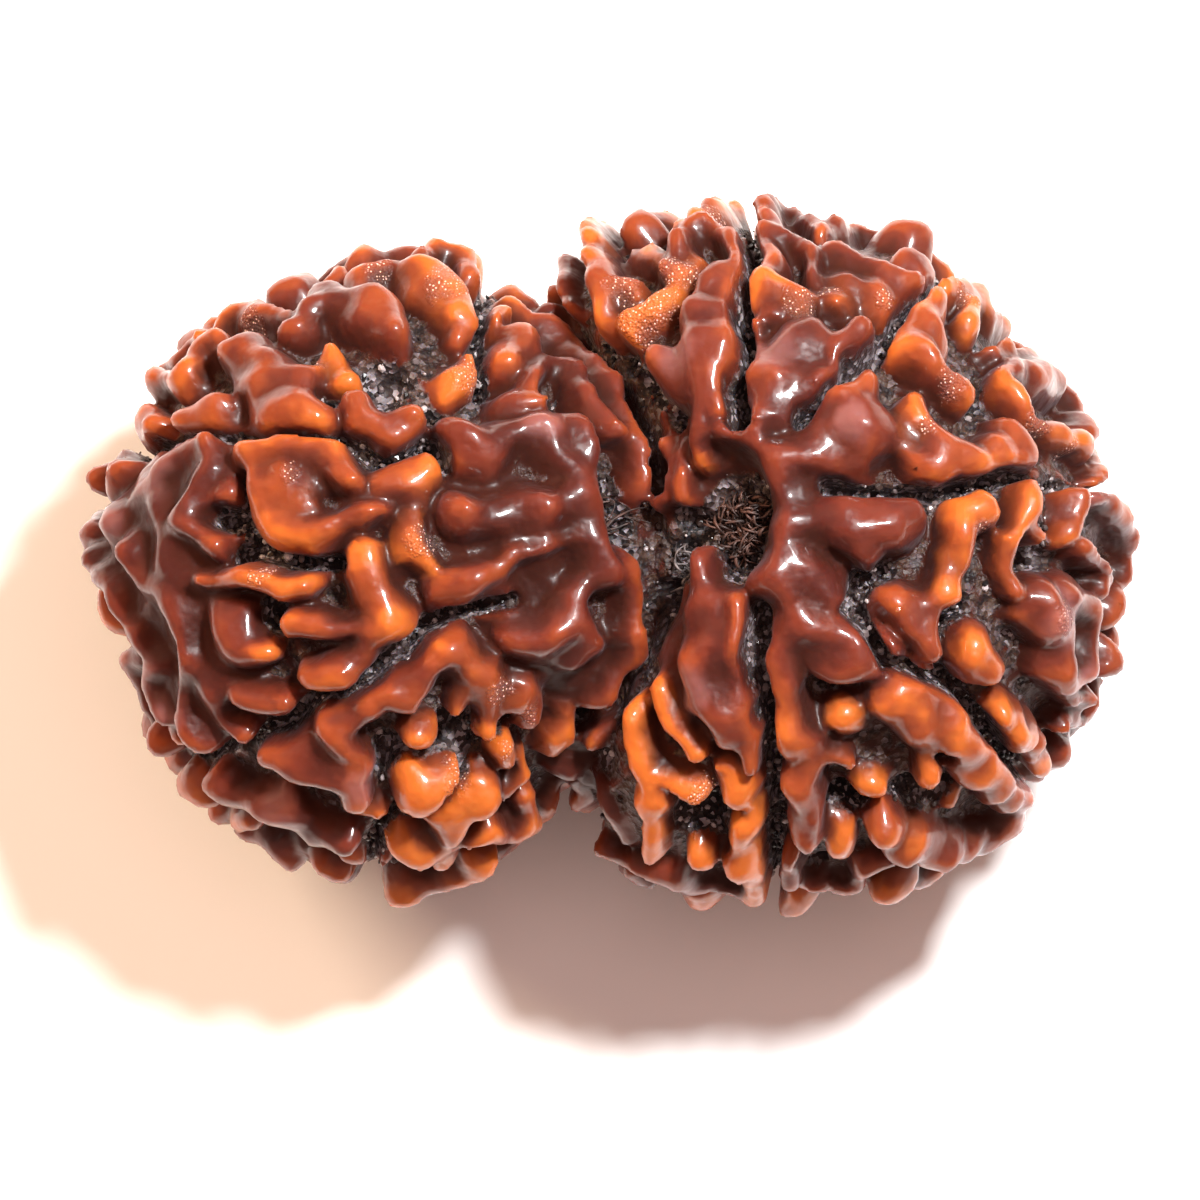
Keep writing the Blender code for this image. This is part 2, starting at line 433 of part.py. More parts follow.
def lower_petals(lobe, clefts, rng):
    """Broad ridges that fan out from the lower pole between the clefts, and the collar round it."""
    side = unit(np.cross(lobe.bottom_pole, (0.0, 1.0, 0.0)))
    other = np.cross(lobe.bottom_pole, side)
    feet = [path[-1] - lobe.centre for path, _ in clefts if path[-1][2] < 3.0]
    turns = sorted(math.atan2(np.dot(foot, other), np.dot(foot, side)) for foot in feet)
    petals = []
    for k, turn in enumerate(turns):
        width = (turns[(k + 1) % len(turns)] - turn) % (2 * math.pi)
        middle = turn + width / 2
        outward = math.cos(middle) * side + math.sin(middle) * other
        reaches = (PETAL_FOOT, PETAL_WAIST, rng.uniform(*PETAL_REACH))
        rows = [unit(lobe.bottom_pole + outward * reach) for reach in reaches]
        broad = min(1.0, 0.22 + 0.5 * width)
        foot, waist, tip = PETAL_WIDTHS
        petals.append((PETAL_LEVEL, path_on_skin(lobe, rows, [foot, waist * broad, tip * broad])))
    return petals


def net(lobe, other_lobe, clefts, ridges):
    """A seeded net of knobs and the ridges that link them, over the sides and the underside."""
    rng = random.Random(NET_SEED + len(lobe.name))
    petals = lower_petals(lobe, clefts, rng)
    blocked = np.concatenate([path for path, _ in clefts])
    built = np.concatenate([path for _, (path, _) in ridges + petals])
    knobs = []
    for _ in range(NET_TRIES):
        upright = rng.uniform(-1.0, NET_TOP)
        turn = rng.uniform(0.0, 2 * math.pi)
        flat = math.sqrt(1.0 - upright * upright)
        point = lobe.skin(np.array([(flat * math.cos(turn), flat * math.sin(turn), upright)]))
        if other_lobe.inside(point, NET_INSET)[0]:
            continue
        if np.linalg.norm(blocked - point, axis=1).min() < NET_CLEAR_OF_GROOVE:
            continue
        if np.linalg.norm(built - point, axis=1).min() < NET_CLEAR_OF_RIDGE:
            continue
        if knobs:
            room = np.linalg.norm(np.array(knobs) - point, axis=1).min()
            if room < NET_SPACING * rng.uniform(0.8, 1.2):
                continue
        knobs.append(point[0])
    knobs = np.array(knobs)
    strands = list(petals)
    for k, knob in enumerate(knobs):
        size = rng.uniform(*KNOB_WIDTH)
        height = rng.uniform(*KNOB_LEVEL)
        lean = np.array([rng.uniform(-KNOB_LEAN, KNOB_LEAN) for _ in range(3)])
        tail = lobe.centre + unit(knob - lobe.centre + lean)
        ends = lobe.skin(np.array((unit_on(lobe, knob), unit_on(lobe, tail))))
        strands.append((height, (ends, np.array((size, size * KNOB_TAPER)))))
        for far in range(k + 1, len(knobs)):
            middle = (knob + knobs[far]) / 2
            if np.linalg.norm(knob - knobs[far]) > NET_REACH or rng.random() > NET_LINKS:
                continue
            if np.linalg.norm(blocked - middle, axis=1).min() < NET_CLEAR_OF_GROOVE:
                continue
            bow = np.array([rng.uniform(-LINK_BOW, LINK_BOW) for _ in range(3)])
            rows = [unit_on(lobe, place) for place in (knob, middle + bow, knobs[far])]
            widths = [size * KNOB_TAPER, rng.uniform(*LINK_WIDTH), size * KNOB_TAPER]
            strands.append((height * LINK_LEVEL, path_on_skin(lobe, rows, widths)))
    return strands


def relief(lobe, other_lobe, turned, ridges, pits, holes, grooves, extra_clefts):
    """Level of the skin in each direction."""
    points = lobe.skin(turned)
    level = np.full(len(points), FLOOR_LEVEL)
    clefts = cleft_paths(lobe, grooves, extra_clefts)
    for x, y, radius in pits:
        spot = lobe.skin(np.array([lift(lobe, x, y)] * 2))
        sink(level, points, spot, np.array((radius, radius)), PIT_LEVEL)
    strands = []
    for height, line in ridges:
        directions = [lift(lobe, x, y) for x, y, _ in line]
        strands.append((height, path_on_skin(lobe, directions, [width for _, _, width in line])))
    strands += net(lobe, other_lobe, clefts, strands)
    for height, (path, widths) in strands:
        raise_ridge(level, points, path, widths, height)
    for x, y, radius in holes:
        spot = lobe.skin(np.array([lift(lobe, x, y)] * 2))
        sink(level, points, spot, np.array((radius, radius)), HOLE_LEVEL)
    for path, widths in clefts:
        sink(level, points, path, widths, GROOVE_LEVEL)
    return level


def lobe_object(lobe, other_lobe, *features):
    """The lobe as a closed mesh object, its skin raised into ridges, thinned to few triangles."""
    shape = bmesh.new()
    bmesh.ops.create_icosphere(shape, subdivisions=LOBE_SUBDIVISIONS, radius=1.0)
    turned = np.array([vertex.co[:] for vertex in shape.verts])
    turned /= np.linalg.norm(turned, axis=1)[:, None]
    level = relief(lobe, other_lobe, turned, *features)
    for vertex, place in zip(shape.verts, lobe.skin(turned, level - RELIEF)):
        vertex.co = place * MM
    axes = {"use_axis_x": True, "use_axis_y": True, "use_axis_z": True}
    for _ in range(SMOOTH_PASSES):
        bmesh.ops.smooth_vert(shape, verts=shape.verts, factor=0.5, **axes)
    mesh = bpy.data.meshes.new(lobe.name)
    shape.to_mesh(mesh)
    shape.free()
    body = bpy.data.objects.new(lobe.name, mesh)
    bpy.context.collection.objects.link(body)
    thin = body.modifiers.new("thin", "DECIMATE")
    thin.ratio = LOBE_TRIANGLES / len(mesh.polygons)
    return body


def settle(body):
    """Apply an object's modifiers to its mesh."""
    graph = bpy.context.evaluated_depsgraph_get()
    mesh = bpy.data.meshes.new_from_object(body.evaluated_get(graph))
    body.modifiers.clear()
    body.data = mesh


def boolean(body, other, operation):
    """Join another object to the body or cut it away, and remove the other object."""
    cut = body.modifiers.new(operation.lower(), "BOOLEAN")
    cut.operation = operation
    cut.solver = "EXACT"
    cut.object = other
    settle(body)
    bpy.data.objects.remove(other, do_unlink=True)


def block(name, low, high):
    """A plain box between two corners, used as a cutter."""
    shape = bmesh.new()
    bmesh.ops.create_cube(shape, size=1.0)
    low = np.array(low)
    high = np.array(high)
    for vertex in shape.verts:
        vertex.co = ((low + high) / 2 + np.array(vertex.co) * (high - low)) * MM
    mesh = bpy.data.meshes.new(name)
    shape.to_mesh(mesh)
    shape.free()
    body = bpy.data.objects.new(name, mesh)
    body.hide_render = True
    body.display_type = "WIRE"
    bpy.context.collection.objects.link(body)
    return body


def seed_coat():
    """Oiled, polished seed coat."""
    material = bpy.data.materials.new("seed_coat")
    material.use_nodes = True
    shader = material.node_tree.nodes["Principled BSDF"]
    shader.inputs["Base Color"].default_value = (0.24, 0.05, 0.018, 1.0)
    shader.inputs["Roughness"].default_value = 0.28
    shader.inputs["Metallic"].default_value = 0.0
    return material


def main():
    for old in list(bpy.data.objects):
        bpy.data.objects.remove(old, do_unlink=True)
    right = lobe_object(
        RIGHT, LEFT, RIGHT_RIDGES, RIGHT_PITS, RIGHT_HOLES, RIGHT_GROOVES, RIGHT_EXTRA_CLEFTS)
    left = lobe_object(
        LEFT, RIGHT, LEFT_RIDGES, LEFT_PITS, LEFT_HOLES, LEFT_GROOVES, LEFT_EXTRA_CLEFTS)
    settle(right)
    settle(left)
    boolean(right, left, "UNION")
    boolean(right, block("floor_cutter", CUTTER_LOW, CUTTER_HIGH), "DIFFERENCE")
    right.name = "twin_bead"
    right.data.name = "twin_bead"
    shape = bmesh.new()
    shape.from_mesh(right.data)
    bmesh.ops.remove_doubles(shape, verts=shape.verts, dist=MERGE_DISTANCE * MM)
    bmesh.ops.triangulate(shape, faces=shape.faces)
    places = np.array([vertex.co[:] for vertex in shape.verts])
    middle = (places.min(axis=0) + places.max(axis=0)) / 2
    bmesh.ops.translate(shape, verts=shape.verts, vec=(-middle[0], -middle[1], 0.0))
    shape.to_mesh(right.data)
    shape.free()
    right.data.materials.clear()
    right.data.materials.append(seed_coat())


main()
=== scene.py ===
import math
import random
from collections import namedtuple

import bmesh
import bpy
import numpy as np
from mathutils import Euler, Matrix, Vector, kdtree


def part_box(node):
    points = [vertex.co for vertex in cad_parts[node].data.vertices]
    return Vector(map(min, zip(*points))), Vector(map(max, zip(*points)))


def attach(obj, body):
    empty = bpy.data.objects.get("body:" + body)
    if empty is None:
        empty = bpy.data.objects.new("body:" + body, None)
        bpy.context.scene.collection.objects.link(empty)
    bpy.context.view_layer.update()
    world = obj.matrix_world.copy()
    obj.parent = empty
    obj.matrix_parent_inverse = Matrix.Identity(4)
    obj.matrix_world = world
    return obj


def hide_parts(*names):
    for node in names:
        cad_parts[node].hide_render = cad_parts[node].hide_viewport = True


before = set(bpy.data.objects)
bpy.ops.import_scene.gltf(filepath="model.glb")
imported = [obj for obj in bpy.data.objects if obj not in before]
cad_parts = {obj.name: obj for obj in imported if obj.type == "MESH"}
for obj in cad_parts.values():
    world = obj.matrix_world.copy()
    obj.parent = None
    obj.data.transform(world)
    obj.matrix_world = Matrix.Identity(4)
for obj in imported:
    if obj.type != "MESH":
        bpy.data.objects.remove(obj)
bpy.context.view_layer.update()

NODE = "twin_bead"
MM = 0.001
FULL_TURN = 2 * math.pi

# The seed as the frame holds it, in millimetres
FRAME_LOW, FRAME_HIGH = [np.array(corner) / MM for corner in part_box(NODE)]
SEED_HEIGHT = 20.0

# Ridges and pits are placed as they are seen from above, tilted a little to the front
VIEW_TILT = math.radians(80.0)
VIEW_DISTANCE = 300.0
VIEW_AIM = np.array((0.0, 0.0, SEED_HEIGHT / 2))
VIEW_UP = np.array((0.0, math.sin(VIEW_TILT), math.cos(VIEW_TILT)))
VIEW_BACK = np.array((0.0, -math.cos(VIEW_TILT), math.sin(VIEW_TILT)))
VIEW_RIGHT = np.array((1.0, 0.0, 0.0))

# Search for the skin along a line of sight: first height, as a share of the half height, and rounds
SIGHT_START = 0.6
SIGHT_ROUNDS = 12

# What the view takes in, in millimetres across the view
FRAME_WIDTH = 42.857
FRAME_CENTRE = (-0.36, -1.71)
SENSOR_WIDTH = 36.0

# Levels of the skin; a lobe's own outline and half height are at the level RELIEF
RELIEF = 1.5
FLOOR_LEVEL = 0.55
FLOOR_TONE = 0.45
PIT_LEVEL = -0.55
GROOVE_LEVEL = -0.5
HOLE_LEVEL = 0.0
FOOT_LEVEL = 0.1

# How ridges run into each other, and how wide they are beside the half widths in the tables
BLEND = 0.35
RIDGE_POWER = 0.5
RIDGE_WIDEN = 1.36
LEAST_WIDTH = 0.3
TONE_DEPTH = 0.5
PATH_SPACING = 0.9
FAR_OFF = 9.0

# How sharply broad fields, patches and the grit in a pit end: 1 fades from the middle, more later
FIELD_EDGE = 2.0
PATCH_EDGE = 1.6
GRIT_EDGE = 2.0
GRIT_TOP = 1.3

# Uneven growth: waves that bend the ridges, swell the high skin and roughen the low skin
WAVES = 7
WAVE_SPREAD = (0.7, 1.4)
WAVE_DIVISOR = 3.7
WARP = 0.16
WARP_LONG = 2.6
WARP_SHORT = 1.1
WARP_SHORT_SHARE = 0.5
WARP_SEEDS = ((1, 10), (2, 11), (3, 12))
HIGH_FROM = 0.4
HIGH_OVER = 0.8
KNOBBY = 0.2
KNOBBY_WAVE = (1.5, 21)
FLOOR_ROUGH = 0.1
FLOOR_WAVES = ((0.55, 31), (0.9, 32))

# Clefts: share of the tables' half widths, and how they carry on over the edge to the lower pole
CLEFT_WIDTH = 0.85
UPPER_SIDE = 0.45
ARC_STEPS = 10
EXTRA_CLEFT_START = 0.05
EXTRA_CLEFT_WIDTH = 0.42

# Broad petals round the lower pole: reach from it and half widths, widest between clefts far apart
PETAL_LEVEL = 1.95
PETAL_TONE = 0.2
PETAL_FEET_BELOW = 3.0
PETAL_FOOT = 0.16
PETAL_WAIST = 0.3
PETAL_REACH = (0.42, 0.6)
PETAL_WIDTHS = (0.6, 0.95, 1.15)
PETAL_NARROW = 0.22
PETAL_BROADEN = 0.5

# The net that covers the sides and the underside
NET_SEED = 8
NET_SPACING = 2.3
NET_UNEVEN = (0.8, 1.2)
NET_REACH = 3.5
NET_LINKS = 0.55
NET_TOP = 0.33
NET_CLEAR_OF_GROOVE = 0.95
NET_CLEAR_OF_RIDGE = 1.5
NET_TRIES = 14000
NET_INSET = 0.8
NET_TONES = (0.2, 0.3, 0.4, 0.5, 0.65, 0.8)
KNOB_WIDTH = (0.6, 0.95)
KNOB_LEVEL = (1.4, 1.95)
KNOB_LEAN = 0.6
KNOB_REACH = 10
KNOB_TAPER = 0.8
LINK_WIDTH = (0.42, 0.6)
LINK_BOW = 0.5
LINK_LEVEL = 0.93

# Mesh of the seed, and how far its skin swells out of its hollows
LOBE_SUBDIVISIONS = 8
VOXEL = 0.00017
EASE = 0.5
EASE_PASSES = 12
SEED_TRIANGLES = 196000
HOLLOW_STEPS = 24
SWELL = 0.55

# Grains in the pits: where the skin is gritty or low enough, and their sizes and shapes
GRAIN_SEED = 5
GRAIN_BATCHES = 105
GRAIN_BATCH = 90
GRAIN_SIZE = 0.075
GRAIN_GRIT = 0.25
GRAIN_LOW = 0.48
GRAIN_TOP = 0.7
GRAIN_OFF_GROUND = 0.3
GRAIN_SCATTER = 0.1
GRAIN_SPREAD = (0.6, 1.5)
GRAIN_SHAPE = (0.6, 1.3)
GRAIN_TURN = (0.0, 6.3)

# Dry fibres: how each one's length, bow and thickness vary, and where its four points lie along it
FIBRE_SEED = 11
FIBRE_RADIUS = 0.042
FIBRE_END = 0.5
FIBRE_LENGTHS = (0.5, 1.2)
FIBRE_BOW = 0.25
FIBRE_ALONG = (-1.0, -0.3, 0.4, 1.0)
FIBRE_THICKNESS = (0.5, 1.6)

# Colours of the coat, from the dark broad ridges to the orange low knobs
COAT_TONES = (
    (0.05, (0.072, 0.012, 0.008)), (0.35, (0.130, 0.022, 0.011)),
    (0.65, (0.23, 0.043, 0.012)), (1.0, (0.46, 0.108, 0.016)))
# Brown painted into the hollows and down the ridges' sides as painted shade
PAINTED_SHADE_BROWN = (0.034, 0.008, 0.005)
# Pale pink dots painted on the sugary patches as glints
SUGAR_GLINT_PINK = (0.80, 0.50, 0.42)
# Pale pink of the milky patches, partly painted sheen and partly wear
SHEEN_AND_WEAR_PINK = (0.30, 0.135, 0.130)
DARK_GROUND = ((0.014, 0.011, 0.012), (0.042, 0.028, 0.027))
BROWN_GROUND = ((0.012, 0.008, 0.008), (0.055, 0.029, 0.021))
# Pale grey specks on the pits' ground: partly the crystals' own colour, partly painted glints
CRYSTAL_GLINT_GREY = (0.34, 0.29, 0.31)
GRAIN_SHADES = (
    (0.0, (0.010, 0.008, 0.008)), (0.55, (0.040, 0.026, 0.022)),
    (0.85, (0.13, 0.10, 0.10)), (1.0, (0.42, 0.36, 0.36)))
POLE_FIBRE = ((0.020, 0.012, 0.011), (0.095, 0.045, 0.034))
SEAM_FIBRE = ((0.04, 0.032, 0.034), (0.20, 0.17, 0.17))

# Sizes of the coat's pattern, in cells or waves a metre, with the noise's detail and roughness
CLOUDS = (480.0, 2.0, 0.6)
RIPPLES = (1900.0, 1.0, 0.5)
SPECKLE = (2600.0, 3.0, 0.6)
SUGAR_CELLS = 9500.0
GRIT_CELLS = 5200.0
FIBRE_MOTTLE = (2200.0, 2.0, 0.5)

# Ranges that one value of the coat is read through to give another: from, to, then the results there
MOTTLE = 1.2
# Painted glow and shade: the tone rises towards orange on the crests and drops a little on their flanks
CREST_GLOW_FLANK_SHADE = (-0.05, -0.40, -0.10, 0.25)
# Painted shade: the coat turns to the painted shade brown from the crests down into the hollows; its oil is
# dulled there too
HOLLOW_SHADE_RANGE = (-0.30, 0.12)
SUGAR_PATCH = (0.25, 0.80)
# Painted glints: pale dots in some of the small cells of the sugary patches
SUGAR_DOT = (0.42, 0.25)
SUGAR_CHANCE = (0.45, 0.75)
SUGAR_GLINT = (0.0, 1.0, 0.04, 1.0)
# Milky patches, partly painted sheen and partly wear, only on the raised skin
SHEEN_AND_WEAR_START = 0.6
SHEEN_AND_WEAR_PATCH = (0.1, 0.9, 0.0, 0.38)
SHEEN_AND_WEAR_ON_TOP = (0.10, -0.20)
DIRT_WHEN_LOW = (0.80, 0.40)
# Painted shade: the pits' dark colour also spreads into the hollows, beside the real grit and low ground
HOLLOW_PIT_SHADE = (0.12, 0.34, 0.0, 0.6)
GRIT_AND_SHADE_WANDER = 0.9
GRIT_AND_SHADE_EDGE = (0.30, 0.80)
PIT_WHEN_LOW = (0.50, 0.20)
GROUND_MOTTLE = (0.4, 0.6)
# Pale crystal specks in the pits, partly painted glints
CRYSTAL_GLINT_IN_PIT = (0.0, 1.0, 0.4, 1.0)
CRYSTAL_GLINT_CHANCE = (0.60, 1.0, 0.0, 0.8)
COAT_ROUGHNESS = (0.0, 1.0, 0.42, 0.5)
DEEP_DULLS = 0.7
OIL_WEAR = (0.0, 0.8, 0.8, 0.0)
SPECKLE_RISE = (0.0, 1.0, 0.2, 0.8)
FIBRE_TONES = (0.35, 0.65)

# How the coat shines, as set on its shader
COAT_SHINE = {
    "Coat Roughness": 0.12,
    "Coat IOR": 1.45,
    "Specular IOR Level": 0.2,
    "Sheen Weight": 0.06,
    "Sheen Roughness": 0.4,
    "Sheen Tint": (1.0, 0.80, 0.88, 1.0),
    "Subsurface Weight": 0.25,
    "Subsurface Radius": (1.0, 0.30, 0.10),
    "Subsurface Scale": 0.0008,
}
BUMP_STRENGTH = 0.8
BUMP_HEIGHT = 0.0001
GRAIN_ROUGHNESS = 0.28
FIBRE_ROUGHNESS = 0.55

# Floor, and lamps: name, place, width, power, colour and whether the seed's shine shows it
FLOOR_HALF = 0.6
FLOOR_GAP = 0.00002
FLOOR_WHITE = (0.93, 0.92, 0.92, 1.0)
FLOOR_ROUGHNESS = 0.7
LAMPS = (
    ("key", (0.054, 0.044, 0.155), 0.024, 0.54, (1.0, 1.0, 1.0), True),
    ("warm", (-0.33, 0.22, 0.30), 0.22, 2.6, (1.0, 0.73, 0.47), False),
    ("fill", (0.0, -0.1, 0.9), 0.7, 2.6, (1.0, 0.68, 0.60), False),
)

# The surround: its colour, how it dims overhead and how it dims near the floor
SURROUND = (1.0, 0.68, 0.58, 1.0)
DIM_OVERHEAD = (0.60, 0.95, 0.42, 0.06)
DIM_AT_FLOOR = (0.05, 0.45, 0.2, 1.0)

Features = namedtuple("Features", "fields sugar bloom ridges pits holes grooves extra_clefts")
Tuft = namedtuple("Tuft", "lobe x y spread_x spread_y count length low high")


class Lobe:
    """One stone of the pair: centre, radii of its outline every 15 degrees from +X, and half height."""

    def __init__(self, name, centre, radii, half_height, bottom_pole):
        self.name = name
        self.centre = np.array(centre)
        self.radii = np.array(radii)
        self.half_height = half_height
        self.bottom_pole = unit(np.array(bottom_pole))

    def outline(self, x, y):
        """Radius of the outline in the direction x, y, eased between the read radii."""
        turn = np.mod(np.arctan2(y, x) / FULL_TURN, 1.0) * len(self.radii)
        first = np.floor(turn).astype(int) % len(self.radii)
        step = turn - np.floor(turn)
        points = [self.radii[(first + k) % len(self.radii)] for k in (-1, 0, 1, 2)]
        bend = points[3] - 3 * points[2] + 3 * points[1] - points[0]
        slope = 2 * points[0] - 5 * points[1] + 4 * points[2] - points[3]
        return points[1] + 0.5 * step * (points[2] - points[0] + step * (slope + step * bend))

    def skin(self, turned, lift=0.0):
        """Point on the skin for each unit direction, lifted along that direction."""
        radius = self.outline(turned[:, 0], turned[:, 1])
        body = turned * np.stack((radius, radius, np.full(len(radius), self.half_height)), axis=1)
        reach = np.linalg.norm(body, axis=1)
        return self.centre + body * ((reach + lift) / reach)[:, None]

    def inside(self, points, margin=0.0):
        """Which points lie inside the lobe's skin, drawn in by a margin."""
        body = points - self.centre
        radius = self.outline(body[:, 0], body[:, 1]) - margin
        height = self.half_height - margin
        return (body[:, 0] ** 2 + body[:, 1] ** 2) / radius ** 2 + (body[:, 2] / height) ** 2 < 1.0


def unit(vector):
    return vector / np.linalg.norm(vector)


RIGHT = Lobe(
    "right", (8.0, 0.1, 9.75),
    (10.4, 10.1, 9.8, 9.9, 10.7, 11.6, 11.8, 12.8, 13.6, 14.0, 10.8, 9.2,
     9.0, 9.1, 9.6, 13.1, 13.9, 12.9, 12.5, 12.3, 11.7, 10.9, 10.8, 10.2),
    9.9, (-0.12, -0.1, -1.0))
LEFT = Lobe(
    "left", (-8.4, -0.5, 9.55),
    (14.0, 14.0, 13.2, 11.3, 11.2, 11.7, 11.3, 10.4, 10.4, 10.4, 10.0, 10.0,
     9.9, 9.6, 9.6, 10.2, 10.3, 10.8, 11.5, 11.6, 11.2, 10.6, 12.3, 13.5),
    9.7, (0.22, 0.08, -1.0))

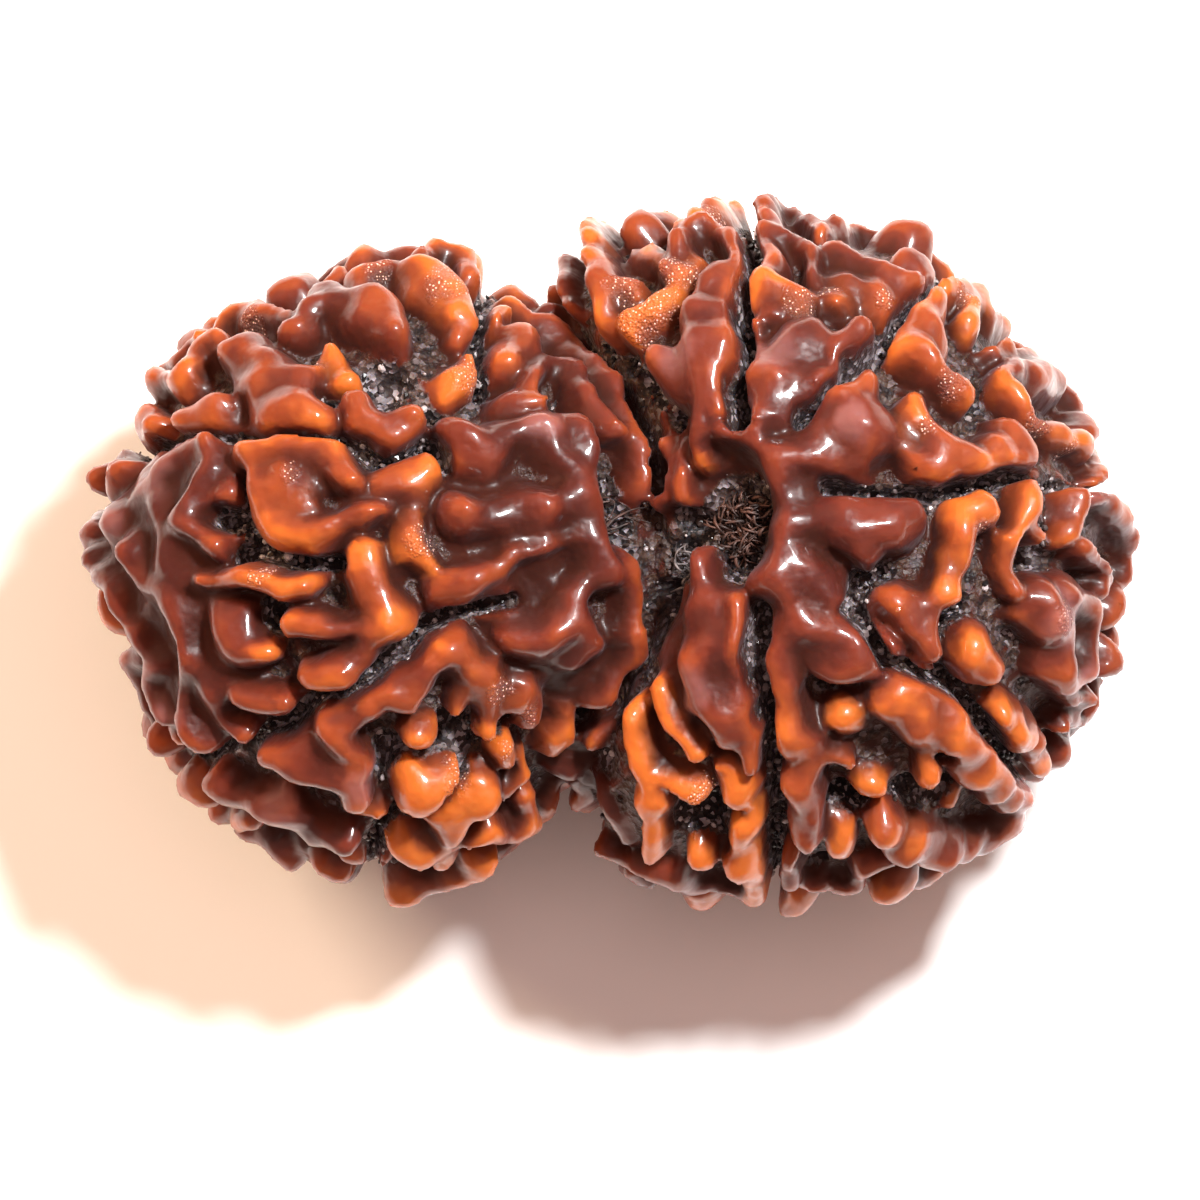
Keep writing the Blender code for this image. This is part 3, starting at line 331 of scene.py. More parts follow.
# Ridges: height, tone from dark brown at 0 to orange at 1, then points with the half width there
RIGHT_RIDGES = [
    # Collar round the pole and the curled rims between the two poles
    (1.9, .15, [(4.4, 4.2, .55), (5.3, 3.7, .65), (6.2, 2.8, .7), (6.6, 1.5, .8), (6.4, 0, .75),
           (5.7, -1.3, .7)]),
    (1.5, .3, [(1.8, 3.8, .24), (2.15, 3, .24), (2.1, 2.1, .24), (1.6, 1.7, .24)]),
    (1.6, .35, [(2.4, 3.9, .28), (2.65, 2.9, .28), (2.6, 2.1, .26)]),
    (1.7, .9, [(3.3, 3.4, .45), (3.4, 3.3, .45)]),
    # Petal left of the upper groove, with the hooked ridge, spike and finger above it
    (2, .2, [(3.3, 4, .6), (3.5, 5.2, .85), (3.1, 6.4, 1.2), (3.2, 7.2, 1.1), (3.6, 8.4, .8),
           (4, 9.8, .5)]),
    (1.8, .35, [(2.6, 6.2, .6), (1.8, 6.9, .55)]),
    (1.9, .4, [(4.2, 5, .5), (4.3, 8, .4), (4.5, 9.7, .4), (4.4, 10.9, .4), (3.7, 11.3, .4),
           (2.8, 11.1, .4), (2.1, 10, .4)]),
    (1.6, .85, [(2.9, 10.4, .45), (2.3, 9.6, .5), (1.5, 8.8, .5), (.6, 8.1, .5)]),
    (1.7, .75, [(2.6, 11.4, .4), (3.4, 12, .5), (4.3, 12.6, .35)]),
    (1.5, .8, [(1.5, 10.9, .5), (2, 10.3, .5)]),
    (1.1, .3, [(.8, 10.9, .5), (1.3, 10.6, .45)]),
    (2.1, .7, [(-.3, 11.5, .5), (-.2, 10, .45), (0, 8.2, .45)]),
    (1.5, .8, [(.2, 9.3, .4), (.6, 9.3, .45)]),
    (1.6, .3, [(-1.6, 10.9, .26), (-1.45, 8.7, .26)]),
    # Petal right of the upper groove
    (2, .16, [(5.4, 4.4, .6), (5.9, 5.6, .9), (6.5, 6.8, 1.2), (7, 7.3, 1.2)]),
    (1.8, .3, [(5.2, 6, .4), (5.3, 8, .4)]),
    (1.9, .16, [(6.2, 4.7, .5), (7.6, 6.2, .6), (8.9, 7.9, .5)]),
    # Forked lump over it and the outer rim
    (1.85, .75, [(5.8, 9.2, .8), (6.7, 8.9, .85)]),
    (1.8, .35, [(6, 8.5, .5), (5.8, 10, .5), (5.5, 11.8, .5), (6, 12.6, .4)]),
    (1.8, .35, [(5.7, 11.8, .45), (6.2, 11.2, .5), (7.2, 10.4, .5), (7.4, 9.6, .45)]),
    (1.5, .45, [(5.5, 12.5, .4), (6.5, 12.4, .4), (7.5, 11.7, .4), (9, 11.8, .4), (10.5, 11.8, .4),
           (11.5, 11.3, .45), (12.2, 10.8, .4)]),
    (1.8, .4, [(7.9, 10.6, .5), (8.5, 10.3, .55), (9.5, 9.8, .6), (10.5, 9.5, .55)]),
    (1.7, .55, [(8.4, 10, .75), (8.2, 9.1, .9)]),
    (1.7, .5, [(9.5, 9.8, .7), (9.6, 9.1, .85)]),
    (1.45, .4, [(10.8, 10.6, .65), (11.2, 10.4, .65)]),
    (1.3, .7, [(12, 10.7, .4), (12.3, 10.5, .35)]),
    # Lumps right of the upper right groove
    (1.9, .6, [(11.4, 8.7, .85), (11.4, 8, .65), (11.2, 7.3, 1.05), (11.4, 6.4, .55), (12.6, 5.6, .55)]),
    (1.6, .8, [(12.2, 9.4, .5), (13.2, 9.3, .5), (12.9, 8.2, .45)]),
    (1.4, .7, [(13, 9.8, .3), (14, 9.1, .3)]),
    (1.4, .65, [(13.7, 8.7, .4), (14.6, 8.3, .45)]),
    (1.5, .6, [(13.7, 7.3, .35), (14.5, 7.2, .4), (15.5, 6.9, .35)]),
    (1.8, .35, [(14, 6.4, .45), (15.1, 6.3, .85), (16, 5.9, .85), (16.8, 5, .6), (17, 4.2, .5)]),
    (1.7, .6, [(14, 6.2, .4), (14.8, 5.2, .5), (15.3, 4.5, .5), (16.2, 4.2, .5), (17, 3.7, .5)]),
    (1.5, .6, [(17.3, 3.8, .45), (17.6, 2.3, .45)]),
    (1.8, .65, [(11, 5.1, .7), (11.2, 4.2, 1.15), (11.6, 3.5, 1)]),
    (1.8, .5, [(11.6, 3.5, .8), (12.7, 3.4, .8), (13.3, 3.5, .6), (14.3, 4.2, .8), (15, 3.5, .6)]),
    (1.7, .5, [(13.4, 3.4, .5), (14.6, 3.2, .5)]),
    # Petals above and below the right groove
    (2, .16, [(6.3, 3.4, .7), (7.6, 3.8, 1.1), (9, 4.5, 1.25)]),
    (1.9, .35, [(7.4, 4.9, .6), (9.2, 5.8, .45)]),
    (2, .1, [(6.6, 1.2, .7), (8.6, .9, .95), (10.4, .9, .9)]),
    (1.8, .12, [(8.6, .6, .7), (9.4, -.3, .5)]),
    (1.8, .1, [(6.9, -.4, .9), (7.7, -1.3, .75)]),
    (1.8, .7, [(13.1, 1.4, .75), (12.6, .3, .7), (11.9, -1.5, .6)]),
    (1.8, .4, [(10.1, -2.1, .5), (11.5, -1.8, .5), (11.6, -3.4, .45)]),
    (1.8, .4, [(10.2, -2.2, .4), (10.9, -2.5, .6), (11.5, -3.3, .4)]),
    (1.9, .55, [(13.2, -3.8, .8), (13.4, -4.1, .8)]),
    # Chain at the right end
    (1.7, .65, [(15.2, 2, .45), (14.7, 1.2, .45), (14.2, .4, .45), (14.3, -.6, .45), (14.6, -1.4, .45)]),
    (1.5, .6, [(14.9, .9, .4), (15.5, .7, .35)]),
    (1.6, .5, [(16.8, 1.8, .5), (16.6, .6, .5)]),
    (1.8, .4, [(17.4, 2, .45), (18.2, 1.2, .5), (18.5, 0, .5), (18.3, -1.2, .5), (17.9, -2.3, .5)]),
    (1.6, .35, [(17, 0, .4), (17.6, -.5, .4), (17.9, -1.2, .4), (17.2, -2, .4)]),
    (1.8, .3, [(15.2, -1.6, .6), (16.6, -1.6, .6), (17.2, -2.5, .7), (17, -4, .7), (16.2, -4.8, .6)]),
    (1.5, .6, [(15, -2.4, .4), (15.7, -3.2, .4), (15.9, -4.2, .4)]),
    (1.95, .35, [(15.5, -1.9, .9), (16.1, -2.9, 1.15), (16.2, -4, 1.05)]),
    (1.7, .65, [(14.2, -6, .6), (15, -6.8, .6)]),
    (1.6, .5, [(16.4, -5, .5), (17.1, -5.5, .5)]),
    (1.5, .4, [(16.2, -6.4, .4), (17.2, -6.2, .45), (17.7, -5.8, .4), (17.6, -4.8, .4)]),
    (1.5, .6, [(15.3, -7.2, .5), (15.8, -8, .45)]),
    # Great looped ridge at the lower right
    (1.9, .6, [(10.8, -5.3, 1.25), (11.6, -6.3, 1.15), (13, -7.2, 1.1), (14, -8, 1.05), (14.6, -9, .85),
           (14, -10.1, .8), (12.5, -10.8, .75), (10.5, -10.6, .7), (9.8, -10, .6)]),
    (1.7, .7, [(11.4, -7, .6), (11.4, -8.2, .5)]),
    (1, .9, [(12.6, -9.2, .35), (12.7, -9.6, .35)]),
    (1.2, .7, [(11.3, -11.5, .45), (12.6, -11.4, .45)]),
    # Forked petal right of the lower groove
    (2, .25, [(6.1, -.8, .7), (6.7, -2.4, .9), (8, -3.4, 1.1), (9.6, -4, .95)]),
    (1.9, .4, [(6.5, -2.6, .75), (6.3, -4, .75), (6.4, -6, .8), (6.9, -8, .75), (7, -10.3, .6)]),
    (1.5, .6, [(7.3, -7.6, .4), (8.3, -7.8, .4)]),
    (1.6, .95, [(8.4, -6.2, .7), (8.7, -6.4, .7)]),
    (1.4, .9, [(9.2, -8.6, .5), (9.5, -8.8, .45)]),
    (1.5, .8, [(8.2, -10.3, .5), (8.3, -10.9, .5)]),
    (1.4, .45, [(6.5, -11.3, .4), (6.6, -12.2, .4), (8, -12.5, .4), (8.8, -12.2, .4), (9.3, -11.7, .4),
           (10, -11.5, .4)]),
    # Petal left of the lower groove and what hangs under it
    (2, .2, [(3.3, -.4, .45), (3.4, -2, .9), (3.5, -3.6, 1.2), (3.7, -5.2, 1.2), (4.3, -6.6, .7)]),
    (1.9, .35, [(4.6, -2, .4), (4.7, -4, .4), (4.9, -6, .4), (5, -7.6, .4)]),
    (1.5, .9, [(1.7, -5.2, .5), (2.3, -6.4, .5), (3, -7.4, .45)]),
    (1.6, .75, [(4.3, -8.4, .65), (4.5, -8.7, .65), (4.9, -9.8, .35)]),
    (1.7, 1, [(.9, -6, .5), (1.2, -8, .5), (1.3, -9.5, .5), (1.5, -10.9, .45)]),
    (1.5, .9, [(1.6, -8.1, .4), (3, -8.8, .4)]),
    (1.7, 1, [(4.7, -10, .5), (4.9, -11.5, .55), (5, -12.7, .45)]),
    (1.5, .9, [(3.1, -11, .5), (3.4, -11.3, .5)]),
    (1.5, .35, [(-.5, -11.2, .4), (.5, -11.5, .4), (2, -11.9, .4), (3, -12.3, .45), (4.2, -12.4, .4),
           (5, -12.6, .4)]),
    (.9, .3, [(-1, -8.2, .5), (-.6, -9.6, .5), (.2, -10.8, .5)]),
]

LEFT_RIDGES = [
    # Collar, and the ridges that edge the lobe along the seam
    (1.9, .15, [(-1.2, 4.3, .6), (-1, 2.5, .7), (-.9, .5, .7), (-.3, -1, .6)]),
    (1.8, .3, [(-2.9, 5.9, .5), (-2.2, 6.7, .5), (-1.4, 6.5, .5), (-.6, 5.2, .5), (.2, 4.2, .5)]),
    (1.6, .35, [(-2.2, 8.2, .45), (-1.2, 7.5, .45), (0, 6.2, .45), (.5, 5, .42), (.9, 4, .38),
           (1.15, 2.8, .32), (1.45, 1.9, .28)]),
    (1.8, .35, [(.5, -.5, .5), (.9, -2, .5), (.8, -3.5, .5), (.2, -4.6, .5), (-.5, -5.3, .45)]),
    # Petals that fan out from the pole
    (2, .15, [(-5.1, 3.9, .95), (-4.2, 4, 1.05), (-3.3, 4.2, .7), (-2.2, 4, 1.05), (-1.4, 3.1, .85)]),
    (1.7, .3, [(-3.6, 5.4, .5), (-2.6, 5.2, .4)]),
    (2, .2, [(-5.1, 1.3, .85), (-3.1, 1.3, 1), (-1.2, 1.8, .8)]),
    (1.8, .45, [(-5.6, -1.4, .8), (-4, -.6, .55), (-2.5, .2, .55), (-1.2, .6, .5)]),
    (2, .2, [(-.4, -.7, .6), (-1.4, -2.2, .8), (-2.3, -3.2, 1), (-3.3, -3.4, .6)]),
    (1.9, .2, [(-1, -2.8, .7), (-1.3, -4, .55)]),
    # Upper edge
    (1.9, .5, [(-3, 7.4, .9), (-3.7, 6.7, .55)]),
    (1.3, .6, [(-3.3, 9.2, .4), (-2.5, 8.4, .4)]),
    (1.5, .6, [(-5.2, 7.9, .45), (-3.6, 8.6, .45)]),
    (1.8, .75, [(-6.6, 10, .9), (-5.9, 9.4, 1), (-5.4, 8.6, .7)]),
    (1.6, .6, [(-7, 10.2, .45), (-6.3, 10.7, .45), (-5.3, 10.5, .45), (-4.8, 9.8, .45)]),
    (1.6, .5, [(-8.7, 9.9, .85), (-7.9, 10.2, .85)]),
    (1.5, .6, [(-10.2, 9.7, .5), (-9.8, 9.9, .5)]),
    (1.9, .3, [(-11.1, 7.9, .6), (-10.4, 8.7, .8), (-9.2, 8.8, .85), (-8.1, 8.4, .8), (-7.6, 7.9, .6)]),
    (1.4, .85, [(-10.6, 6.4, .45), (-10, 7.3, .45), (-9.5, 6.5, .5)]),
    (1.3, .85, [(-5.5, 6.2, .7), (-4.8, 6.9, .5)]),
    # Lumps on the crown
    (1.7, .5, [(-9, 5.6, .55), (-8.9, 4.7, .6), (-7.7, 4.4, .6), (-7, 4.7, .5)]),
    (1.7, .6, [(-7.8, 2.5, .9), (-6.9, 2.4, .95)]),
    (1.5, .95, [(-7.1, 1, .7), (-6.9, -.3, .75), (-6.2, -.6, .5)]),
    (1.7, .7, [(-8.7, -.2, .7), (-8.4, -1.2, .8), (-8, -2.4, 1.1)]),
    (1.8, .55, [(-12.9, 3.3, .55), (-11.3, 3.6, .6), (-10, 3.2, .6), (-9.2, 2.4, .5)]),
    (1.8, .55, [(-12.8, 3.1, .5), (-12.4, 1.8, .7), (-11.8, .8, .7), (-10.5, .5, .6), (-9.4, 1, .55),
           (-8, 1.4, .4)]),
    (1.85, .6, [(-11.5, 2.4, 1.1), (-11, 1.8, 1)]),
    # Left flank with its long wavy ridges
    (1.6, .3, [(-16.1, 2.9, .7), (-15.7, 2.9, .75)]),
    (1.7, .15, [(-17.8, 1, .7), (-17.5, .8, .75)]),
    (1.8, .2, [(-14.3, 4, .5), (-14.2, 3, .5), (-15, 2, .5), (-15.2, 1, .5), (-14.6, .3, .45),
           (-14.1, .1, .4)]),
    (1.9, .22, [(-18.6, 1, .5), (-18.1, -.5, .55), (-17.5, -1.5, .55), (-16.7, -2.8, .55), (-16.1, -4, .55),
           (-16.2, -5, .5), (-15.6, -5.8, .45)]),
    (1.9, .28, [(-17, 0, .6), (-16.5, -1.2, .6), (-15.5, -2, .6), (-14.9, -3, .6), (-14.8, -3.8, .55),
           (-15.2, -4.7, .5), (-15, -5.7, .5), (-14.3, -6.9, .5)]),
    (1.7, .3, [(-14.2, -5.2, .45), (-13.8, -6, .45), (-13.2, -6.5, .4)]),
    (1.7, .35, [(-13.3, -5.4, .6), (-12.3, -5.4, .55), (-11.8, -5.5, .45)]),
    (1.6, .22, [(-15.9, .6, .9), (-15.4, -.8, .9)]),
    (1.6, .2, [(-13.9, -2.4, .9), (-13.3, -3.6, .8)]),
    (1.8, .6, [(-14.5, -1, .45), (-13, -1, .45), (-11.5, -1.4, .45), (-10.7, -1.3, .5)]),
    (1.5, .6, [(-12.7, -3.6, .45), (-12.4, -3.7, .45)]),
    (1.7, .5, [(-11.2, -2.8, .5), (-10, -2.7, .55), (-8.8, -2.8, .5)]),
    (1.7, .5, [(-10.6, -4.6, .5), (-9.8, -4.3, .6), (-9, -3.8, .6), (-8.2, -3, .6)]),
    (1.5, .4, [(-15.7, -6.4, .55), (-15.5, -6.6, .55)]),
    # Upper left
    (1.6, .5, [(-15.2, 4.6, .75), (-14.3, 5.1, .75)]),
    (1.5, .5, [(-16.8, 4.9, .6), (-16.4, 4.4, .6)]),
    (1.7, .65, [(-16.2, 6, .5), (-15.2, 6.2, .45), (-14.3, 7.5, .5), (-13.5, 6.9, .5)]),
    (1.8, .45, [(-12.9, 7.2, .8), (-12.3, 6.3, 1.2), (-11.5, 5.4, 1.25), (-10.7, 4.9, .9)]),
    (1.6, .55, [(-14.6, 7.7, .45), (-13.4, 8.5, .5), (-12.2, 8.6, .5), (-11, 8.3, .45)]),
    (1.5, .45, [(-16.5, 6.2, .4), (-15.5, 7, .4), (-14.8, 7.6, .4)]),
    # Lower edge
    (1.8, .5, [(-7.6, -5.3, .6), (-6.5, -4.6, .6), (-5.5, -3.6, .6)]),
    (1.8, .55, [(-5.4, -3.8, .8), (-4.4, -4.8, 1.05), (-3.5, -5.3, 1), (-2.8, -5.8, .7)]),
    (1.5, .6, [(-5.2, -5.2, .35), (-5.4, -5.9, .3)]),
    (1.7, .45, [(-8.3, -5.8, .5), (-9.5, -6.4, .55)]),
    (1.8, .3, [(-12, -7.6, .5), (-10.6, -7.6, .9), (-9.6, -8.1, .9)]),
    (1.8, .4, [(-10, -6.6, .5), (-9.4, -7.4, .7), (-9.2, -8.9, .5)]),
    (1.6, .75, [(-6.8, -6.8, .6), (-6.6, -6.8, .6)]),
    (1.7, .75, [(-4.2, -6.5, .45), (-3.5, -7.6, .45)]),
    (1.4, .8, [(-2.9, -7.5, .35), (-2.8, -8.2, .35), (-3.7, -9.1, .3)]),
    (1.7, .6, [(-1.4, -5.8, .5), (-1.9, -7.1, .55)]),
    (1.9, .7, [(-6.8, -8.8, .85), (-5.7, -9, 1.1), (-4.6, -8.9, .9)]),
    (1.8, .7, [(-5.5, -9.2, .9), (-5.6, -10, .75)]),
    (1.3, .7, [(-5.2, -10.8, .4), (-6, -11.5, .35)]),
    (1.6, .9, [(-7, -10.8, .8), (-6.3, -11, .85), (-5.7, -10.7, .7)]),
    (1.6, .7, [(-2.8, -9.2, .5), (-2.9, -10.1, .55), (-4.2, -10.2, .55), (-4.8, -10.5, .5)]),
    (1.2, .85, [(-9.2, -9.7, .4), (-8.4, -9.7, .4)]),
    (1.2, .5, [(-9.6, -11.3, .5), (-8.4, -11.7, .5)]),
    (1.7, .25, [(-14.3, -8.3, .6), (-13, -9, .7), (-11.5, -9.6, .75), (-10.5, -10.2, .7), (-9.5, -10.6, .6)]),
]

# Broad smooth skin: x, y, radius, level and tone
# The right lobe's field tones are partly its own darker colour and partly painted shade, set lower where the
# key lamp lights it more strongly
RIGHT_FIELDS = [
    (6, 1.5, 4.5, 1.1, .05), (3, 6, 2.8, 1.1, .07), (3.2, -3.6, 2.8, 1.1, .08)]
LEFT_FIELDS = [
    (-3, 1, 4.2, 1.15, .25), (-1.5, -3.5, 3, 1.1, .25), (-17, -.5, 4.8, 1.5, .22),
    (-15.3, -4.5, 3.6, 1.45, .28), (-15, 2.5, 3, 1.4, .26)]

# Rough pits between the ridges: centre across the view and radius
RIGHT_PITS = [
    (4.2, 1.1, 2), (4.6, -.6, 1), (2.5, .9, 1), (2, -.4, 1.1), (1.6, -1.8, .8), (2.3, 1.9, .6),
    (1.6, 3, .3), (2, 5.1, .6), (1.4, 5.9, .6), (.8, 6.6, .6), (-.7, -6.6, .7), (-.9, -8, .7),
    (2.9, 9, .5), (2.5, 8.1, .5), (-.8, 9, .5), (-.7, 8, .5), (.2, 7.2, .5), (7.1, 8.2, .6), (9, 11, .7),
    (7.6, 9.7, .5), (13.9, 7.7, .8), (13.1, 6.2, 1.2),
    (16.1, 4.9, .6), (15.9, -.3, 1.2), (17.5, .1, .6), (15, -3.5, .5), (11.6, -9.2, 1.4), (8.6, -9.6, 1),
    (7.6, -6.8, .5), (7.6, -12, .5), (2.8, -9.9, 1.4), (9.5, -1.3, 1), (12.6, -2.4, .8), (12.6, 2.1, .6),
]
LEFT_PITS = [
    (.3, 2.1, 1.2), (.6, .5, 1.5), (-8, 6.7, 1.2), (-14.1, 1.2, .8), (-12, -2.6, .9), (-15.8, 5.6, .6),
    (-13.2, 7.6, .5),
    (-7.5, -8.2, 1.3), (-5.3, -6.9, 1.1), (-7, -1.6, .7), (-9.8, 5, .5), (-13.4, -.2, .6),
    (-.9, 8.6, .8), (-.1, 7.4, .7), (.7, 6.3, .6), (1.4, 5.2, .5), (-.6, -6.3, .8), (-.9, -7.5, .8),
]
RIGHT_HOLES = [(12, -7.6, .5)]
LEFT_HOLES = [(-10.1, 1.9, .32)]

# Sugary rough patches on the ridges, dotted with painted glints: centre across the view and radius
RIGHT_SUGAR = [
    (2.5, 9.9, .9), (1.6, 9, 1), (.9, 8.3, .9), (.4, 9.2, .7), (3.6, 12, .6), (6.8, 8.6, .7),
    (8.4, 11.2, 1.4), (10.3, 11.2, 1),
    (7.9, 9.2, .6), (9.8, 8.9, .5), (12.9, 8.9, .8), (14.2, 8.4, .8), (12.1, 5.9, .7), (15.4, 4.4, .7),
    (11.2, 4.3, .5), (16.6, 3.7, .5), (13.2, .8, .5), (15.9, -2.2, .8), (3.2, -8.8, .6),
    (14.3, -10.2, .8)]
LEFT_SUGAR = [
    (-5.8, 9.3, 1.2), (-8.1, 10, .7), (-5.1, 6.4, 1), (-13, 8.3, .8), (-10.6, 6.6, .5),
    (-4, -5.1, .8),
    (-3, -5.8, .5), (-5.5, -8.3, .8), (-12.3, -1, .5), (-6.6, .2, .8), (-11.2, 2.8, .5),
    (-3.7, -7.1, .4)]

# Milky patches on the broad ridges, partly painted sheen and partly wear: centre across the view and radius
RIGHT_SHEEN_AND_WEAR = [
    (3, -4.8, 1.2), (2.7, 6.9, 1.2), (5.9, 6.9, 1.3), (16, -2.4, 1.5), (16.8, -4.6, 1.1),
    (15.5, 6.2, 1.1), (8.7, 4.2, .8),
    (6.6, 11.6, 1.2), (17.4, 1.4, .9), (14.6, -8.8, 1.1), (11, -11.4, 1), (3, -12.2, 1.2)]
LEFT_SHEEN_AND_WEAR = [
    (-16.2, 2.6, 1.5), (-17.6, .3, 1.3), (-16.4, -4.2, 1.3), (-15.4, -5.6, 1.2), (-14.6, 5.6, 1.2),
    (-8.8, -8.4, 1),
    (-9.2, 9.2, 1.1), (-2.6, 4.3, .9), (-11.6, -9.6, 1.4), (-5.8, 9.6, .8)]

# The clefts that run from pole to pole, each with its half width
RIGHT_GROOVES = [
    (.5, [(4.8, 4.4), (4.7, 7), (4.85, 9), (5.0, 11), (5.0, 12.6)]),
    (.45, [(6.8, 4.8), (8.5, 6.4), (9.8, 7.7), (10.6, 8.6), (11.6, 9.6), (13, 10.6)]),
    (.45, [(7.8, 2.2), (10.3, 2.2), (12, 2.3), (14, 2.7), (16, 2.6), (17.2, 2.2), (18.4, 2)]),
    (.5, [(8.6, -2), (10, -4.2), (12, -4.8), (13, -5.7), (14.5, -7.5), (15.6, -9)]),
    (.5, [(5.2, -2.4), (5.4, -5), (5.6, -7), (5.8, -9), (5.9, -11), (5.8, -12.7)]),
]
LEFT_GROOVES = [
    (.4, [(-5.6, 3), (-6.2, 4), (-8.2, 3.5), (-9.8, 4.2), (-11, 4.2), (-12.5, 4.1), (-14, 4.4),
           (-17.1, 3.6)]),
    (.4, [(-9.5, -.5), (-11, -.4), (-12.6, -.1), (-13.3, 1), (-13.3, 2.6)]),
    (.45, [(-3, -1.7), (-4.5, -2.4), (-6.3, -2.9), (-7.5, -4), (-8.6, -5), (-10, -5.6), (-11.5, -6.4),
           (-12.8, -7.2),
           (-14.3, -7.7), (-15.6, -7.9)]),
    (.4, [(-4.3, 6.2), (-4.4, 7.4), (-4.3, 9.2), (-4, 10.6)]),
    (.4, [(-5.8, 5.2), (-7.4, 5.6), (-9.2, 5.9), (-10.2, 5.7)]),
    (.4, [(-3.6, -6.3), (-4.5, -7.3), (-7.4, -9.9), (-8.2, -10.8), (-8.6, -11.9)]),
]
# Where clefts of the underside start on the lobe's widest line, in degrees from +X, beside those above
RIGHT_EXTRA_CLEFTS = (132, 228)
LEFT_EXTRA_CLEFTS = (112, 198, 318, 48)
RIGHT_FEATURES = Features(
    RIGHT_FIELDS, RIGHT_SUGAR, RIGHT_SHEEN_AND_WEAR, RIGHT_RIDGES, RIGHT_PITS, RIGHT_HOLES, RIGHT_GROOVES,
    RIGHT_EXTRA_CLEFTS)
LEFT_FEATURES = Features(
    LEFT_FIELDS, LEFT_SUGAR, LEFT_SHEEN_AND_WEAR, LEFT_RIDGES, LEFT_PITS, LEFT_HOLES, LEFT_GROOVES,
    LEFT_EXTRA_CLEFTS)

# Dry fibres round the open pole and along the seam
POLE_TUFTS = (
    Tuft(RIGHT, 4.3, 1.0, 1.1, 1.4, 110, 1.2, -0.4, 0.8),
    Tuft(LEFT, 0.4, 1.2, 0.6, 1.4, 24, 1.4, -0.2, 0.8),
    Tuft(LEFT, 1.0, 0.9, 0.3, 0.2, 5, 2.2, 0.6, 1.1),
)
SEAM_TUFTS = (
    Tuft(LEFT, -0.9, 8.0, 0.6, 1.3, 60, 1.5, -0.4, 0.9),
    Tuft(RIGHT, 1.9, -0.6, 0.3, 1.2, 14, 1.0, -0.3, 0.6),
)


def lift(lobe, x, y):
    """Direction from the lobe's centre to the skin where the line of sight through x, y meets it."""
    seen = VIEW_AIM + x * VIEW_RIGHT + y * VIEW_UP
    eye = VIEW_AIM + VIEW_DISTANCE * VIEW_BACK
    height = lobe.centre[2] + SIGHT_START * lobe.half_height
    for _ in range(SIGHT_ROUNDS):
        point = eye + (seen - eye) * ((height - eye[2]) / (seen[2] - eye[2]))
        across = point[:2] - lobe.centre[:2]
        share = np.linalg.norm(across) / lobe.outline(across[0], across[1])
        rise = math.sqrt(max(0.0, 1.0 - share * share))
        height = 0.5 * height + 0.5 * (lobe.centre[2] + lobe.half_height * rise)
    radius = max(np.linalg.norm(across), lobe.outline(across[0], across[1]) * share)
    flat = across / radius * min(share, 1.0)
    return unit(np.array((flat[0], flat[1], rise)))


def spot_on(lobe, x, y, raised=0.0):
    """Point on the skin where the line of sight through x, y meets it, raised along its direction."""
    return lobe.skin(np.array([lift(lobe, x, y)]), raised)[0]


def arc(start, end, steps):
    """Directions along the great circle from start to end."""
    angle = math.acos(max(-1.0, min(1.0, float(np.dot(start, end)))))
    return [unit(math.sin((1 - k / steps) * angle) * start + math.sin(k / steps * angle) * end)
            for k in range(steps + 1)]


def path_on_skin(lobe, directions, widths):
    """Points and half widths of a path laid on the skin, with more points where it is long."""
    points = [directions[0]]
    wide = [widths[0]]
    for k in range(len(directions) - 1):
        ends = lobe.skin(np.array((directions[k], directions[k + 1])))
        steps = max(1, int(np.linalg.norm(ends[1] - ends[0]) / PATH_SPACING))
        points += arc(directions[k], directions[k + 1], steps)[1:]
        wide += [widths[k] + (widths[k + 1] - widths[k]) * s / steps for s in range(1, steps + 1)]
    return lobe.skin(np.array(points)), np.array(wide)


def nearest(points, path, widths):
    """Least distance from each point to a path, as a share of the path's half width there."""
    best = np.full(len(points), FAR_OFF)
    for k in range(len(path) - 1):
        along = path[k + 1] - path[k]
        length = max(float(np.dot(along, along)), 1e-9)
        share = np.clip(((points - path[k]) @ along) / length, 0.0, 1.0)
        distance = np.linalg.norm(points - path[k] - share[:, None] * along, axis=1)
        best = np.minimum(best, distance / (widths[k] + share * (widths[k + 1] - widths[k])))
    return best


def close_to(points, path, reach):
    """Indices of the points in the box round a path."""
    low = path.min(axis=0) - reach
    high = path.max(axis=0) + reach
    return np.nonzero(np.all((points > low) & (points < high), axis=1))[0]


